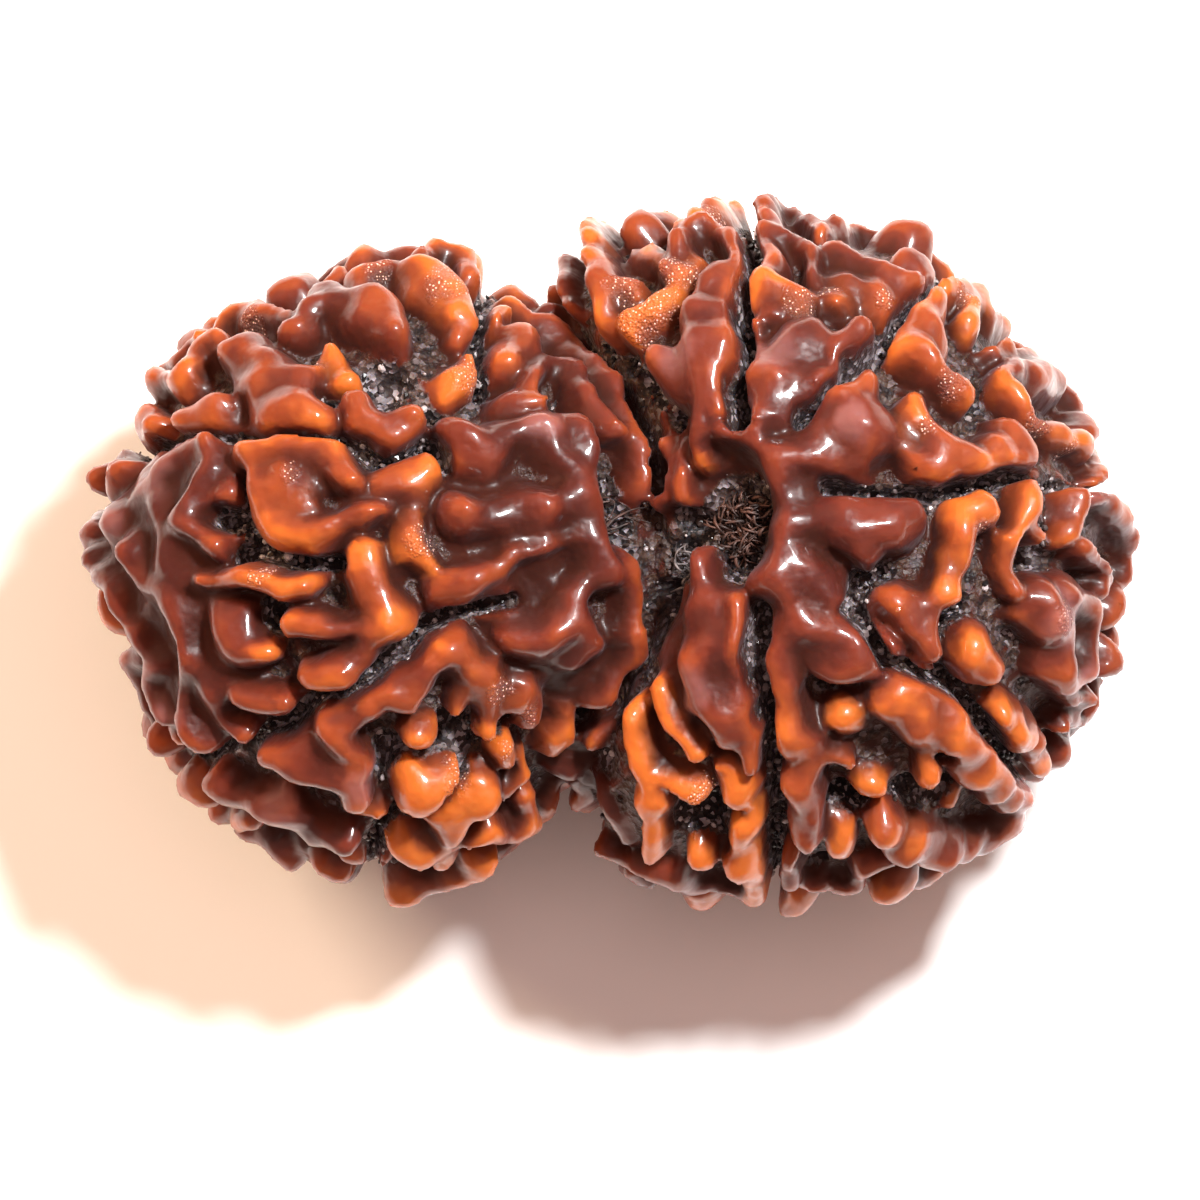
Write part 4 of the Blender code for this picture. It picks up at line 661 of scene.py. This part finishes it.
class Skin:
    """Level, tone, grit, sugar and milky patches of painted sheen and wear of a lobe's skin at each of its
    points.
    """

    def __init__(self, points):
        self.points = points
        self.level = np.full(len(points), FLOOR_LEVEL)
        self.tone = np.full(len(points), FLOOR_TONE)
        self.grit = np.zeros(len(points))
        self.sugar = np.zeros(len(points))
        self.bloom = np.zeros(len(points))

    def fade(self, spot, radius, edge):
        """1 round a spot, fading to 0 at the radius."""
        distance = np.linalg.norm(self.points - spot, axis=1) / radius
        return np.clip(edge - edge * distance, 0.0, 1.0)

    def raise_ridge(self, path, widths, height, tone):
        """Raise a rounded ridge along a path, run it into what is there and give it its tone."""
        widths = np.maximum(widths, LEAST_WIDTH) * RIDGE_WIDEN
        near = close_to(self.points, path, widths.max())
        share = nearest(self.points[near], path, widths)
        ridge = FOOT_LEVEL + (height - FOOT_LEVEL) * np.clip(1.0 - share ** 2, 0.0, 1.0) ** RIDGE_POWER
        level = self.level[near]
        blend = np.clip(BLEND - np.abs(level - ridge), 0.0, BLEND) ** 2 / (4 * BLEND)
        self.level[near] = np.where(share < 1.0, np.maximum(level, ridge) + blend, level)
        cover = np.clip((ridge - level) / TONE_DEPTH + 0.5, 0.0, 1.0) * (share < 1.0)
        self.tone[near] += (tone - self.tone[near]) * cover

    def sink(self, path, widths, depth):
        """Cut a gritty cleft along a path, down to a depth."""
        near = close_to(self.points, path, widths.max())
        share = nearest(self.points[near], path, widths)
        weight = np.clip(1.0 - share ** 2, 0.0, 1.0)
        self.level[near] += (np.minimum(self.level[near], depth) - self.level[near]) * weight
        self.grit[near] = np.maximum(self.grit[near], np.clip(weight * GRIT_EDGE, 0.0, 1.0))

    def sink_pit(self, spot, radius, depth):
        """Cut a round gritty pit, down to a depth."""
        self.sink(np.array((spot, spot)), np.array((radius, radius)), depth)


def ripple(points, wavelength, seed):
    """Smooth irregular waves from -1 to 1 over the points, summed from sine waves in seeded directions."""
    rng = np.random.default_rng(seed)
    total = np.zeros(len(points))
    for _ in range(WAVES):
        direction = rng.normal(size=3)
        direction *= FULL_TURN / (wavelength * rng.uniform(*WAVE_SPREAD) * np.linalg.norm(direction))
        total += np.sin(points @ direction + rng.uniform(0, FULL_TURN))
    return total / WAVE_DIVISOR


def cleft_paths(lobe, grooves, extra_clefts):
    """The clefts as laid on the skin: down the upper side, over the edge and on to the lower pole."""
    paths = []
    for width, line in grooves:
        upper = [lift(lobe, x, y) for x, y in line]
        if upper[-1][2] < UPPER_SIDE:
            upper += arc(upper[-1], lobe.bottom_pole, ARC_STEPS)[1:-1]
        paths.append(path_on_skin(lobe, upper, [width * CLEFT_WIDTH] * len(upper)))
    for degrees in extra_clefts:
        turn = math.radians(degrees)
        start = unit(np.array((math.cos(turn), math.sin(turn), EXTRA_CLEFT_START)))
        lower = arc(start, lobe.bottom_pole, ARC_STEPS)[:-1]
        paths.append(path_on_skin(lobe, lower, [EXTRA_CLEFT_WIDTH] * len(lower)))
    return paths


def lower_petals(lobe, clefts, rng):
    """Broad ridges that fan out from the lower pole between the clefts."""
    side = unit(np.cross(lobe.bottom_pole, (0.0, 1.0, 0.0)))
    other = np.cross(lobe.bottom_pole, side)
    feet = [path[-1] - lobe.centre for path, _ in clefts if path[-1][2] < PETAL_FEET_BELOW]
    turns = sorted(math.atan2(np.dot(foot, other), np.dot(foot, side)) for foot in feet)
    petals = []
    for k, turn in enumerate(turns):
        width = (turns[(k + 1) % len(turns)] - turn) % FULL_TURN
        middle = turn + width / 2
        outward = math.cos(middle) * side + math.sin(middle) * other
        reaches = (PETAL_FOOT, PETAL_WAIST, rng.uniform(*PETAL_REACH))
        rows = [unit(lobe.bottom_pole + outward * reach) for reach in reaches]
        broad = min(1.0, PETAL_NARROW + PETAL_BROADEN * width)
        foot, waist, tip = PETAL_WIDTHS
        line = path_on_skin(lobe, rows, [foot, waist * broad, tip * broad])
        petals.append((PETAL_LEVEL, PETAL_TONE, line))
    return petals


def unit_on(lobe, point):
    """Unit direction whose skin point lies on the line from the lobe's centre through a point."""
    body = point - lobe.centre
    radius = lobe.outline(body[0], body[1])
    return unit(np.array((body[0] / radius, body[1] / radius, body[2] / lobe.half_height)))


def least_distance(points, spot):
    return np.linalg.norm(points - spot, axis=1).min()


def net(lobe, other_lobe, clefts, ridges):
    """A seeded net of knobs and the ridges that link them, over the sides and the underside."""
    rng = random.Random(NET_SEED + len(lobe.name))
    tones = random.Random(NET_SEED)
    petals = lower_petals(lobe, clefts, rng)
    blocked = np.concatenate([path for path, _ in clefts])
    built = np.concatenate([path for _, _, (path, _) in ridges + petals])
    knobs = []
    for _ in range(NET_TRIES):
        upright = rng.uniform(-1.0, NET_TOP)
        turn = rng.uniform(0.0, FULL_TURN)
        flat = math.sqrt(1.0 - upright * upright)
        point = lobe.skin(np.array([(flat * math.cos(turn), flat * math.sin(turn), upright)]))
        if other_lobe.inside(point, NET_INSET)[0]:
            continue
        if least_distance(blocked, point) < NET_CLEAR_OF_GROOVE:
            continue
        if least_distance(built, point) < NET_CLEAR_OF_RIDGE:
            continue
        if knobs and least_distance(np.array(knobs), point) < NET_SPACING * rng.uniform(*NET_UNEVEN):
            continue
        knobs.append(point[0])
    knobs = np.array(knobs)
    strands = list(petals)
    for k, knob in enumerate(knobs):
        size = rng.uniform(*KNOB_WIDTH)
        height = rng.uniform(*KNOB_LEVEL)
        tone = tones.choice(NET_TONES)
        lean = np.array([rng.uniform(-KNOB_LEAN, KNOB_LEAN) for _ in range(3)])
        tail = lobe.centre + unit(knob - lobe.centre + lean) * KNOB_REACH
        ends = lobe.skin(np.array((unit_on(lobe, knob), unit_on(lobe, tail))))
        strands.append((height, tone, (ends, np.array((size, size * KNOB_TAPER)))))
        for far in range(k + 1, len(knobs)):
            middle = (knob + knobs[far]) / 2
            if np.linalg.norm(knob - knobs[far]) > NET_REACH or rng.random() > NET_LINKS:
                continue
            if least_distance(blocked, middle) < NET_CLEAR_OF_GROOVE:
                continue
            bow = np.array([rng.uniform(-LINK_BOW, LINK_BOW) for _ in range(3)])
            rows = [unit_on(lobe, place) for place in (knob, middle + bow, knobs[far])]
            widths = [size * KNOB_TAPER, rng.uniform(*LINK_WIDTH), size * KNOB_TAPER]
            strands.append((height * LINK_LEVEL, tone, path_on_skin(lobe, rows, widths)))
    return strands


def relief(lobe, other_lobe, turned, features):
    """The lobe's skin in each direction, with its ridges raised and its pits and clefts sunk."""
    points = lobe.skin(turned)
    wobble = np.stack([
        ripple(points, WARP_LONG, long_seed) + WARP_SHORT_SHARE * ripple(points, WARP_SHORT, short_seed)
        for long_seed, short_seed in WARP_SEEDS], axis=1)
    skin = Skin(points + wobble * WARP)
    clefts = cleft_paths(lobe, features.grooves, features.extra_clefts)
    for x, y, radius, level, tone in features.fields:
        weight = skin.fade(spot_on(lobe, x, y), radius, FIELD_EDGE)
        skin.level += (level - skin.level) * weight
        skin.tone += (tone - skin.tone) * weight
    for values, patches in ((skin.sugar, features.sugar), (skin.bloom, features.bloom)):
        for x, y, radius in patches:
            np.maximum(values, skin.fade(spot_on(lobe, x, y), radius, PATCH_EDGE), out=values)
    for x, y, radius in features.pits:
        skin.sink_pit(spot_on(lobe, x, y), radius, PIT_LEVEL)
    strands = []
    for height, tone, line in features.ridges:
        directions = [lift(lobe, x, y) for x, y, _ in line]
        widths = [width for _, _, width in line]
        strands.append((height, tone, path_on_skin(lobe, directions, widths)))
    strands += net(lobe, other_lobe, clefts, strands)
    for height, tone, (path, widths) in strands:
        skin.raise_ridge(path, widths, height, tone)
    skin.grit *= np.clip(GRIT_TOP - skin.level, 0.0, 1.0)
    for x, y, radius in features.holes:
        skin.sink_pit(spot_on(lobe, x, y), radius, HOLE_LEVEL)
    for path, widths in clefts:
        skin.sink(path, widths, GROOVE_LEVEL)
    high = np.clip((skin.level - HIGH_FROM) / HIGH_OVER, 0.0, 1.0)
    skin.level += KNOBBY * high * ripple(points, *KNOBBY_WAVE)
    skin.level += FLOOR_ROUGH * (1.0 - high) * sum(ripple(points, *wave) for wave in FLOOR_WAVES)
    return skin


def link(name, mesh):
    """Object of this name that holds the mesh, or curve, in the scene."""
    body = bpy.data.objects.new(name, mesh)
    bpy.context.collection.objects.link(body)
    return body


def settle(body):
    """Apply an object's modifiers to its mesh."""
    graph = bpy.context.evaluated_depsgraph_get()
    mesh = bpy.data.meshes.new_from_object(body.evaluated_get(graph))
    body.modifiers.clear()
    body.data = mesh


def vectors(mesh, name):
    """The place, as co, or the normal of each of the mesh's points."""
    values = np.empty(len(mesh.vertices) * 3, np.float32)
    mesh.vertices.foreach_get(name, values)
    return values.reshape(-1, 3).astype(float)


def set_places(mesh, places):
    """Move the mesh's points to places in millimetres."""
    mesh.vertices.foreach_set("co", (places * MM).astype(np.float32).ravel())


def set_values(mesh, name, values):
    """Give each of the mesh's points its value of an attribute."""
    layer = mesh.attributes.new(name, "FLOAT", "POINT")
    layer.data.foreach_set("value", values.astype(np.float32))


def grown_lobes():
    """Both lobes in one mesh, one in the other at the seam, and the skin values of each of its points."""
    both = bmesh.new()
    places = []
    values = []
    for lobe, other, features in ((RIGHT, LEFT, RIGHT_FEATURES), (LEFT, RIGHT, LEFT_FEATURES)):
        ball = bmesh.new()
        bmesh.ops.create_icosphere(ball, subdivisions=LOBE_SUBDIVISIONS, radius=1.0)
        mesh = bpy.data.meshes.new(lobe.name)
        ball.to_mesh(mesh)
        ball.free()
        turned = vectors(mesh, "co")
        turned /= np.linalg.norm(turned, axis=1)[:, None]
        skin = relief(lobe, other, turned, features)
        place = lobe.skin(turned, skin.level - RELIEF)
        set_places(mesh, place)
        both.from_mesh(mesh)
        bpy.data.meshes.remove(mesh)
        places.append(place)
        values.append(np.stack((skin.level, skin.tone, skin.grit, skin.sugar, skin.bloom), axis=1))
    mesh = bpy.data.meshes.new("seed")
    both.to_mesh(mesh)
    both.free()
    return mesh, np.concatenate(places), np.concatenate(values)


def hollows(mesh, spots, normals):
    """How far each point lies below the skin around it, in millimetres, and above it where negative."""
    ends = np.empty(len(mesh.edges) * 2, np.int32)
    mesh.edges.foreach_get("vertices", ends)
    near = np.concatenate((ends, ends.reshape(-1, 2)[:, ::-1].ravel())).reshape(-1, 2)
    count = np.bincount(near[:, 0], minlength=len(spots))
    smooth = spots.copy()
    for _ in range(HOLLOW_STEPS):
        for axis in range(3):
            smooth[:, axis] = np.bincount(near[:, 0], smooth[near[:, 1], axis], len(spots)) / count
    return ((smooth - spots) * normals).sum(axis=1)


def nearest_points(places, spots):
    """For each spot, which of the places lies nearest to it."""
    tree = kdtree.KDTree(len(places))
    for k, place in enumerate(places):
        tree.insert(place, k)
    tree.balance()
    return np.array([tree.find(spot)[1] for spot in spots])


def seed_body():
    """The whole seed as one closed skin, set in the middle of the frame's box and resting on flat spots."""
    mesh, places, values = grown_lobes()
    seed = link("seed", mesh)
    fuse = seed.modifiers.new("fuse", "REMESH")
    fuse.mode = "VOXEL"
    fuse.voxel_size = VOXEL
    ease = seed.modifiers.new("ease", "SMOOTH")
    ease.factor = EASE
    ease.iterations = EASE_PASSES
    settle(seed)
    thin = seed.modifiers.new("thin", "DECIMATE")
    thin.ratio = min(1.0, SEED_TRIANGLES / (2 * len(seed.data.polygons)))
    settle(seed)
    mesh = seed.data
    spots = vectors(mesh, "co") / MM
    values = values[nearest_points(places, spots)]
    for column, name in enumerate(("level", "tone", "grit", "sugar", "bloom")):
        set_values(mesh, name, values[:, column])
    normals = vectors(mesh, "normal")
    depth = hollows(mesh, spots, normals)
    set_values(mesh, "hollow", depth)
    spots -= normals * (SWELL * depth)[:, None]
    middle = (spots.min(axis=0) + spots.max(axis=0)) / 2
    goal = (FRAME_LOW + FRAME_HIGH) / 2
    shift = np.array((goal[0] - middle[0], goal[1] - middle[1], 0.0))
    spots += shift
    spots[:, 2] = np.maximum(spots[:, 2], 0.0)
    set_places(mesh, spots)
    mesh.polygons.foreach_set("use_smooth", [True] * len(mesh.polygons))
    mesh.update()
    return seed, spots, values, shift


def pit_grains(spots, skin_values):
    """Hard grains that crust the pits and clefts, each with its own shade."""
    rng = random.Random(GRAIN_SEED)
    level = skin_values[:, 0]
    grit = skin_values[:, 2]
    pitted = (grit > GRAIN_GRIT) | (level < GRAIN_LOW)
    rough = np.nonzero(pitted & (level < GRAIN_TOP) & (spots[:, 2] > GRAIN_OFF_GROUND))[0]
    crust = bmesh.new()
    for _ in range(GRAIN_BATCHES):
        grains = bmesh.new()
        shades = grains.verts.layers.float.new("shade")
        for _ in range(GRAIN_BATCH):
            spot = Vector(spots[rng.choice(rough)])
            spot += Vector([rng.uniform(-GRAIN_SCATTER, GRAIN_SCATTER) for _ in range(3)])
            size = GRAIN_SIZE * rng.uniform(*GRAIN_SPREAD) ** 2
            turn = Euler([rng.uniform(*GRAIN_TURN) for _ in range(3)])
            shape = Vector([size * rng.uniform(*GRAIN_SHAPE) * MM for _ in range(3)])
            place = Matrix.LocRotScale(spot * MM, turn, shape)
            made = bmesh.ops.create_icosphere(grains, subdivisions=1, radius=1.0, matrix=place)
            shade = rng.random()
            for vertex in made["verts"]:
                vertex[shades] = shade
        batch = bpy.data.meshes.new("batch")
        grains.to_mesh(batch)
        grains.free()
        crust.from_mesh(batch)
        bpy.data.meshes.remove(batch)
    mesh = bpy.data.meshes.new("pit_grains")
    crust.to_mesh(mesh)
    crust.free()
    return link("pit_grains", mesh)


def strand(curve, points, radius):
    """One bent fibre through the points, thinner at both ends."""
    line = curve.splines.new("BEZIER")
    line.bezier_points.add(len(points) - 1)
    for k, (knot, point) in enumerate(zip(line.bezier_points, points)):
        knot.co = Vector(point) * MM
        knot.handle_left_type = "AUTO"
        knot.handle_right_type = "AUTO"
        knot.radius = radius * (FIBRE_END if k in (0, len(points) - 1) else 1.0)


def fibres(name, tufts, shift):
    """Dry fibres lying in the pits, tuft by tuft."""
    rng = random.Random(FIBRE_SEED + len(name))
    curve = bpy.data.curves.new(name, "CURVE")
    curve.dimensions = "3D"
    curve.bevel_depth = FIBRE_RADIUS * MM
    curve.bevel_resolution = 0
    curve.resolution_u = 3
    curve.use_fill_caps = True
    for tuft in tufts:
        for _ in range(tuft.count):
            far = math.sqrt(rng.random())
            turn = rng.uniform(0.0, FULL_TURN)
            middle_x = tuft.x + tuft.spread_x * far * math.cos(turn)
            middle_y = tuft.y + tuft.spread_y * far * math.sin(turn)
            lean = rng.uniform(0.0, math.pi)
            half = 0.5 * tuft.length * rng.uniform(*FIBRE_LENGTHS)
            bow = rng.uniform(-FIBRE_BOW, FIBRE_BOW) * tuft.length
            rows = []
            for along in FIBRE_ALONG:
                side = bow * (1.0 - along * along)
                x = middle_x + along * half * math.cos(lean) - side * math.sin(lean)
                y = middle_y + along * half * math.sin(lean) + side * math.cos(lean)
                raised = rng.uniform(tuft.low, tuft.high) - RELIEF
                rows.append(spot_on(tuft.lobe, x, y, raised) + shift)
            strand(curve, rows, rng.uniform(*FIBRE_THICKNESS))
    tubes = link(name, curve)
    graph = bpy.context.evaluated_depsgraph_get()
    mesh = bpy.data.meshes.new_from_object(tubes.evaluated_get(graph))
    bpy.data.objects.remove(tubes, do_unlink=True)
    return link(name, mesh)


class Graph:
    """The nodes of a material or of the surround, with a short way to add each kind used here."""

    def __init__(self, owner):
        owner.use_nodes = True
        self.nodes = owner.node_tree.nodes
        self.links = owner.node_tree.links

    def feed(self, socket, value):
        """Link an output to a socket, or set the socket to a number or a colour."""
        if isinstance(value, tuple):
            socket.default_value = value + (1.0,)
        elif isinstance(value, float):
            socket.default_value = value
        else:
            self.links.new(value, socket)

    def add(self, kind, output, inputs, **settings):
        """Add a node, set it up, feed its inputs and give one of its outputs."""
        node = self.nodes.new("ShaderNode" + kind)
        for name, value in settings.items():
            setattr(node, name, value)
        for name, value in inputs.items():
            self.feed(node.inputs[name], value)
        return node.outputs[output]

    def place(self, kind="Object"):
        """Where each point lies on the piece, or for the surround which way it is seen."""
        return self.add("TexCoord", kind, {})

    def attribute(self, name):
        return self.add("Attribute", "Fac", {}, attribute_name=name)

    def noise(self, place, scale, detail, rough):
        return self.add(
            "TexNoise", "Fac", {"Vector": place, "Scale": scale, "Detail": detail, "Roughness": rough})

    def cells(self, place, scale):
        """Small cells: how far each point lies from its cell's middle, and a draw for each cell."""
        distance = self.add("TexVoronoi", "Distance", {"Vector": place, "Scale": scale})
        colour = distance.node.outputs["Color"]
        return distance, self.add("SeparateColor", "Red", {"Color": colour})

    def maths(self, operation, first, second):
        return self.add("Math", 0, {0: first, 1: second}, operation=operation)

    def plus(self, first, second):
        return self.maths("ADD", first, second)

    def times(self, first, second):
        return self.maths("MULTIPLY", first, second)

    def most(self, first, second):
        return self.maths("MAXIMUM", first, second)

    def around(self, value, middle, spread=1.0):
        """How far a value lies above a middle, times a spread."""
        return self.times(self.maths("SUBTRACT", value, middle), spread)

    def remap(self, value, low, high, to_low=0.0, to_high=1.0):
        """A smooth step from one result to the other while the value goes from low to high."""
        inputs = {"Value": value, "From Min": low, "From Max": high, "To Min": to_low, "To Max": to_high}
        return self.add("MapRange", "Result", inputs, interpolation_type="SMOOTHSTEP")

    def mixed(self, factor, first, second):
        """From the first colour to the second as the factor goes from 0 to 1."""
        return self.add("Mix", 2, {"Factor": factor, 6: first, 7: second}, data_type="RGBA")

    def ramp(self, value, stops):
        """Colour read off a row of stops, each a place from 0 to 1 and its colour."""
        node = self.nodes.new("ShaderNodeValToRGB")
        row = node.color_ramp
        row.interpolation = "EASE"
        row.elements[0].position = stops[0][0]
        row.elements[1].position = stops[-1][0]
        for place, _ in stops[1:-1]:
            row.elements.new(place)
        for stop, (_, colour) in zip(row.elements, stops):
            stop.color = colour + (1.0,)
        self.links.new(value, node.inputs["Fac"])
        return node.outputs["Color"]


def new_material(name):
    """A new material, its graph and its shader."""
    material = bpy.data.materials.new(name)
    graph = Graph(material)
    return material, graph, graph.nodes["Principled BSDF"]


def coat_colour(graph, tone, hollow, cloud, sugar, sugar_cells):
    """The oiled coat: orange where it is low and thin, darker on top, with painted glow on the crests,
    painted shade in the hollows, painted glints on the sugary patches and pale patches of painted sheen and
    wear.
    """
    shade = graph.plus(tone, graph.around(cloud, 0.5, MOTTLE))
    # Painted glow on the crests, painted shade just below them
    shade = graph.plus(shade, graph.remap(hollow, *CREST_GLOW_FLANK_SHADE))
    coat = graph.ramp(shade, COAT_TONES)
    # Painted shade: darker brown down the ridges' sides and in the hollows
    coat = graph.mixed(graph.remap(hollow, *HOLLOW_SHADE_RANGE), coat, PAINTED_SHADE_BROWN)
    # Painted glints: pale pink dots on the sugary patches
    cell, chance = sugar_cells
    glint_dots = graph.times(graph.remap(cell, *SUGAR_DOT), graph.remap(chance, *SUGAR_CHANCE))
    coat = graph.mixed(graph.times(sugar, graph.remap(glint_dots, *SUGAR_GLINT)), coat, SUGAR_GLINT_PINK)
    # Milky patches of painted sheen and wear on the raised skin
    bloom = graph.plus(graph.attribute("bloom"), graph.around(cloud, SHEEN_AND_WEAR_START))
    bloom = graph.times(graph.remap(bloom, *SHEEN_AND_WEAR_PATCH), graph.remap(hollow, *SHEEN_AND_WEAR_ON_TOP))
    return graph.mixed(bloom, coat, SHEEN_AND_WEAR_PINK)


def pit_colour(graph, grit, level, cloud, fine, grit_chance):
    """The rough ground of the pits, brown to near black, with pale crystal specks scattered on it, partly
    their own colour and partly painted glints.
    """
    pitted = graph.most(grit, graph.remap(level, *PIT_WHEN_LOW))
    dark = graph.mixed(graph.remap(cloud, *GROUND_MOTTLE), *DARK_GROUND)
    brown = graph.mixed(graph.remap(fine, *GROUND_MOTTLE), *BROWN_GROUND)
    ground = graph.mixed(pitted, brown, dark)
    # Pale specks, partly painted glints
    crystal_glint = graph.times(graph.remap(pitted, *CRYSTAL_GLINT_IN_PIT), graph.remap(grit_chance, *CRYSTAL_GLINT_CHANCE))
    return graph.mixed(crystal_glint, ground, CRYSTAL_GLINT_GREY)


def seed_coat():
    """Oiled seed coat: red-brown on the ridges, orange on the lower knobs, dark rough grit in the pits, and
    the pits' dark colour painted into the hollows as shade.
    """
    material, graph, shader = new_material("seed_coat_fine")
    place = graph.place()
    tone = graph.attribute("tone")
    level = graph.attribute("level")
    grit = graph.attribute("grit")
    hollow = graph.attribute("hollow")
    cloud = graph.noise(place, *CLOUDS)
    wave = graph.noise(place, *RIPPLES)
    fine = graph.noise(place, *SPECKLE)
    sugar_cells = graph.cells(place, SUGAR_CELLS)
    grit_cell, grit_chance = graph.cells(place, GRIT_CELLS)
    sugar = graph.plus(graph.attribute("sugar"), graph.around(fine, 0.5))
    sugar = graph.remap(sugar, *SUGAR_PATCH)
    # Where the pits' dark colour goes: real grit and low ground, and the hollows as painted shade
    low = graph.most(graph.remap(level, *DIRT_WHEN_LOW), graph.remap(hollow, *HOLLOW_PIT_SHADE))
    grit_and_shade = graph.plus(graph.most(grit, low), graph.around(fine, 0.5, GRIT_AND_SHADE_WANDER))
    grit_and_shade = graph.remap(grit_and_shade, *GRIT_AND_SHADE_EDGE)
    coat = coat_colour(graph, tone, hollow, cloud, sugar, sugar_cells)
    pit = pit_colour(graph, grit, level, cloud, fine, grit_chance)
    graph.feed(shader.inputs["Base Color"], graph.mixed(grit_and_shade, coat, pit))
    rough = graph.most(grit_and_shade, sugar)
    graph.feed(shader.inputs["Roughness"], graph.remap(rough, *COAT_ROUGHNESS))
    dull = graph.most(rough, graph.times(graph.remap(hollow, *HOLLOW_SHADE_RANGE), DEEP_DULLS))
    graph.feed(shader.inputs["Coat Weight"], graph.remap(dull, *OIL_WEAR))
    for name, value in COAT_SHINE.items():
        shader.inputs[name].default_value = value
    crystals = graph.plus(graph.times(grit_cell, grit_and_shade), graph.times(sugar_cells[0], sugar))
    swell = graph.plus(graph.times(fine, graph.remap(grit_and_shade, *SPECKLE_RISE)), wave)
    bump = {"Strength": BUMP_STRENGTH, "Distance": BUMP_HEIGHT, "Height": graph.plus(crystals, swell)}
    graph.feed(shader.inputs["Normal"], graph.add("Bump", "Normal", bump))
    return material


def grain_crust():
    """Dark glassy grains, some of them pale."""
    material, graph, shader = new_material("grain_crust")
    graph.feed(shader.inputs["Base Color"], graph.ramp(graph.attribute("shade"), GRAIN_SHADES))
    shader.inputs["Roughness"].default_value = GRAIN_ROUGHNESS
    return material


def dry_fibre(name, dark, pale):
    """Dry plant fibre, its colour wandering between two tones."""
    material, graph, shader = new_material(name)
    wander = graph.remap(graph.noise(graph.place(), *FIBRE_MOTTLE), *FIBRE_TONES)
    graph.feed(shader.inputs["Base Color"], graph.mixed(wander, dark, pale))
    shader.inputs["Roughness"].default_value = FIBRE_ROUGHNESS
    return material


def plain_floor():
    """Plain white surface under the seed."""
    shape = bmesh.new()
    bmesh.ops.create_grid(shape, x_segments=2, y_segments=2, size=FLOOR_HALF)
    bmesh.ops.translate(shape, verts=shape.verts, vec=(0.0, 0.0, -FLOOR_GAP))
    mesh = bpy.data.meshes.new("floor")
    shape.to_mesh(mesh)
    shape.free()
    floor = link("floor", mesh)
    material, _, shader = new_material("floor_white")
    shader.inputs["Base Color"].default_value = FLOOR_WHITE
    shader.inputs["Roughness"].default_value = FLOOR_ROUGHNESS
    mesh.materials.append(material)


def area_light(name, place, width, power, colour, shows_in_shine):
    """A round lamp that faces the middle of the seed."""
    light = bpy.data.lights.new(name, "AREA")
    light.shape = "DISK"
    light.size = width
    light.energy = power
    light.color = colour
    lamp = link(name, light)
    lamp.location = place
    lamp.visible_glossy = shows_in_shine
    aim = Vector((0.0, 0.0, SEED_HEIGHT / 2 * MM)) - Vector(place)
    lamp.rotation_euler = aim.to_track_quat("-Z", "Y").to_euler()


def surround():
    """A warm surround that is dim overhead and near the floor."""
    world = bpy.data.worlds.new("surround")
    bpy.context.scene.world = world
    graph = Graph(world)
    upward = graph.add("SeparateXYZ", "Z", {"Vector": graph.place("Generated")})
    back = graph.nodes["Background"]
    back.inputs["Color"].default_value = SURROUND
    brightness = graph.times(graph.remap(upward, *DIM_OVERHEAD), graph.remap(upward, *DIM_AT_FLOOR))
    graph.feed(back.inputs["Strength"], brightness)


def camera():
    """The photograph's viewing angle: almost straight down, from a little in front."""
    lens = bpy.data.cameras.new("view")
    lens.sensor_width = SENSOR_WIDTH
    lens.lens = SENSOR_WIDTH * VIEW_DISTANCE / FRAME_WIDTH
    lens.shift_x = FRAME_CENTRE[0] / FRAME_WIDTH
    lens.shift_y = FRAME_CENTRE[1] / FRAME_WIDTH
    eye = link("view", lens)
    eye.location = (VIEW_AIM + VIEW_DISTANCE * VIEW_BACK) * MM
    eye.rotation_euler = (math.pi / 2 - VIEW_TILT, 0.0, 0.0)
    bpy.context.scene.camera = eye


camera()
for lamp in LAMPS:
    area_light(*lamp)
surround()
plain_floor()
bpy.context.scene.view_settings.view_transform = "Standard"

seed, spots, skin_values, shift = seed_body()
grains = pit_grains(spots, skin_values)
pole_fibres = fibres("pole_fibres", POLE_TUFTS, shift)
seam_fibres = fibres("seam_fibres", SEAM_TUFTS, shift)
for piece, coat in (
        (seed, seed_coat()), (grains, grain_crust()),
        (pole_fibres, dry_fibre("pole_fibre", *POLE_FIBRE)),
        (seam_fibres, dry_fibre("seam_fibre", *SEAM_FIBRE))):
    piece.data.materials.append(coat)
    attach(piece, "root")
    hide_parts(NODE)
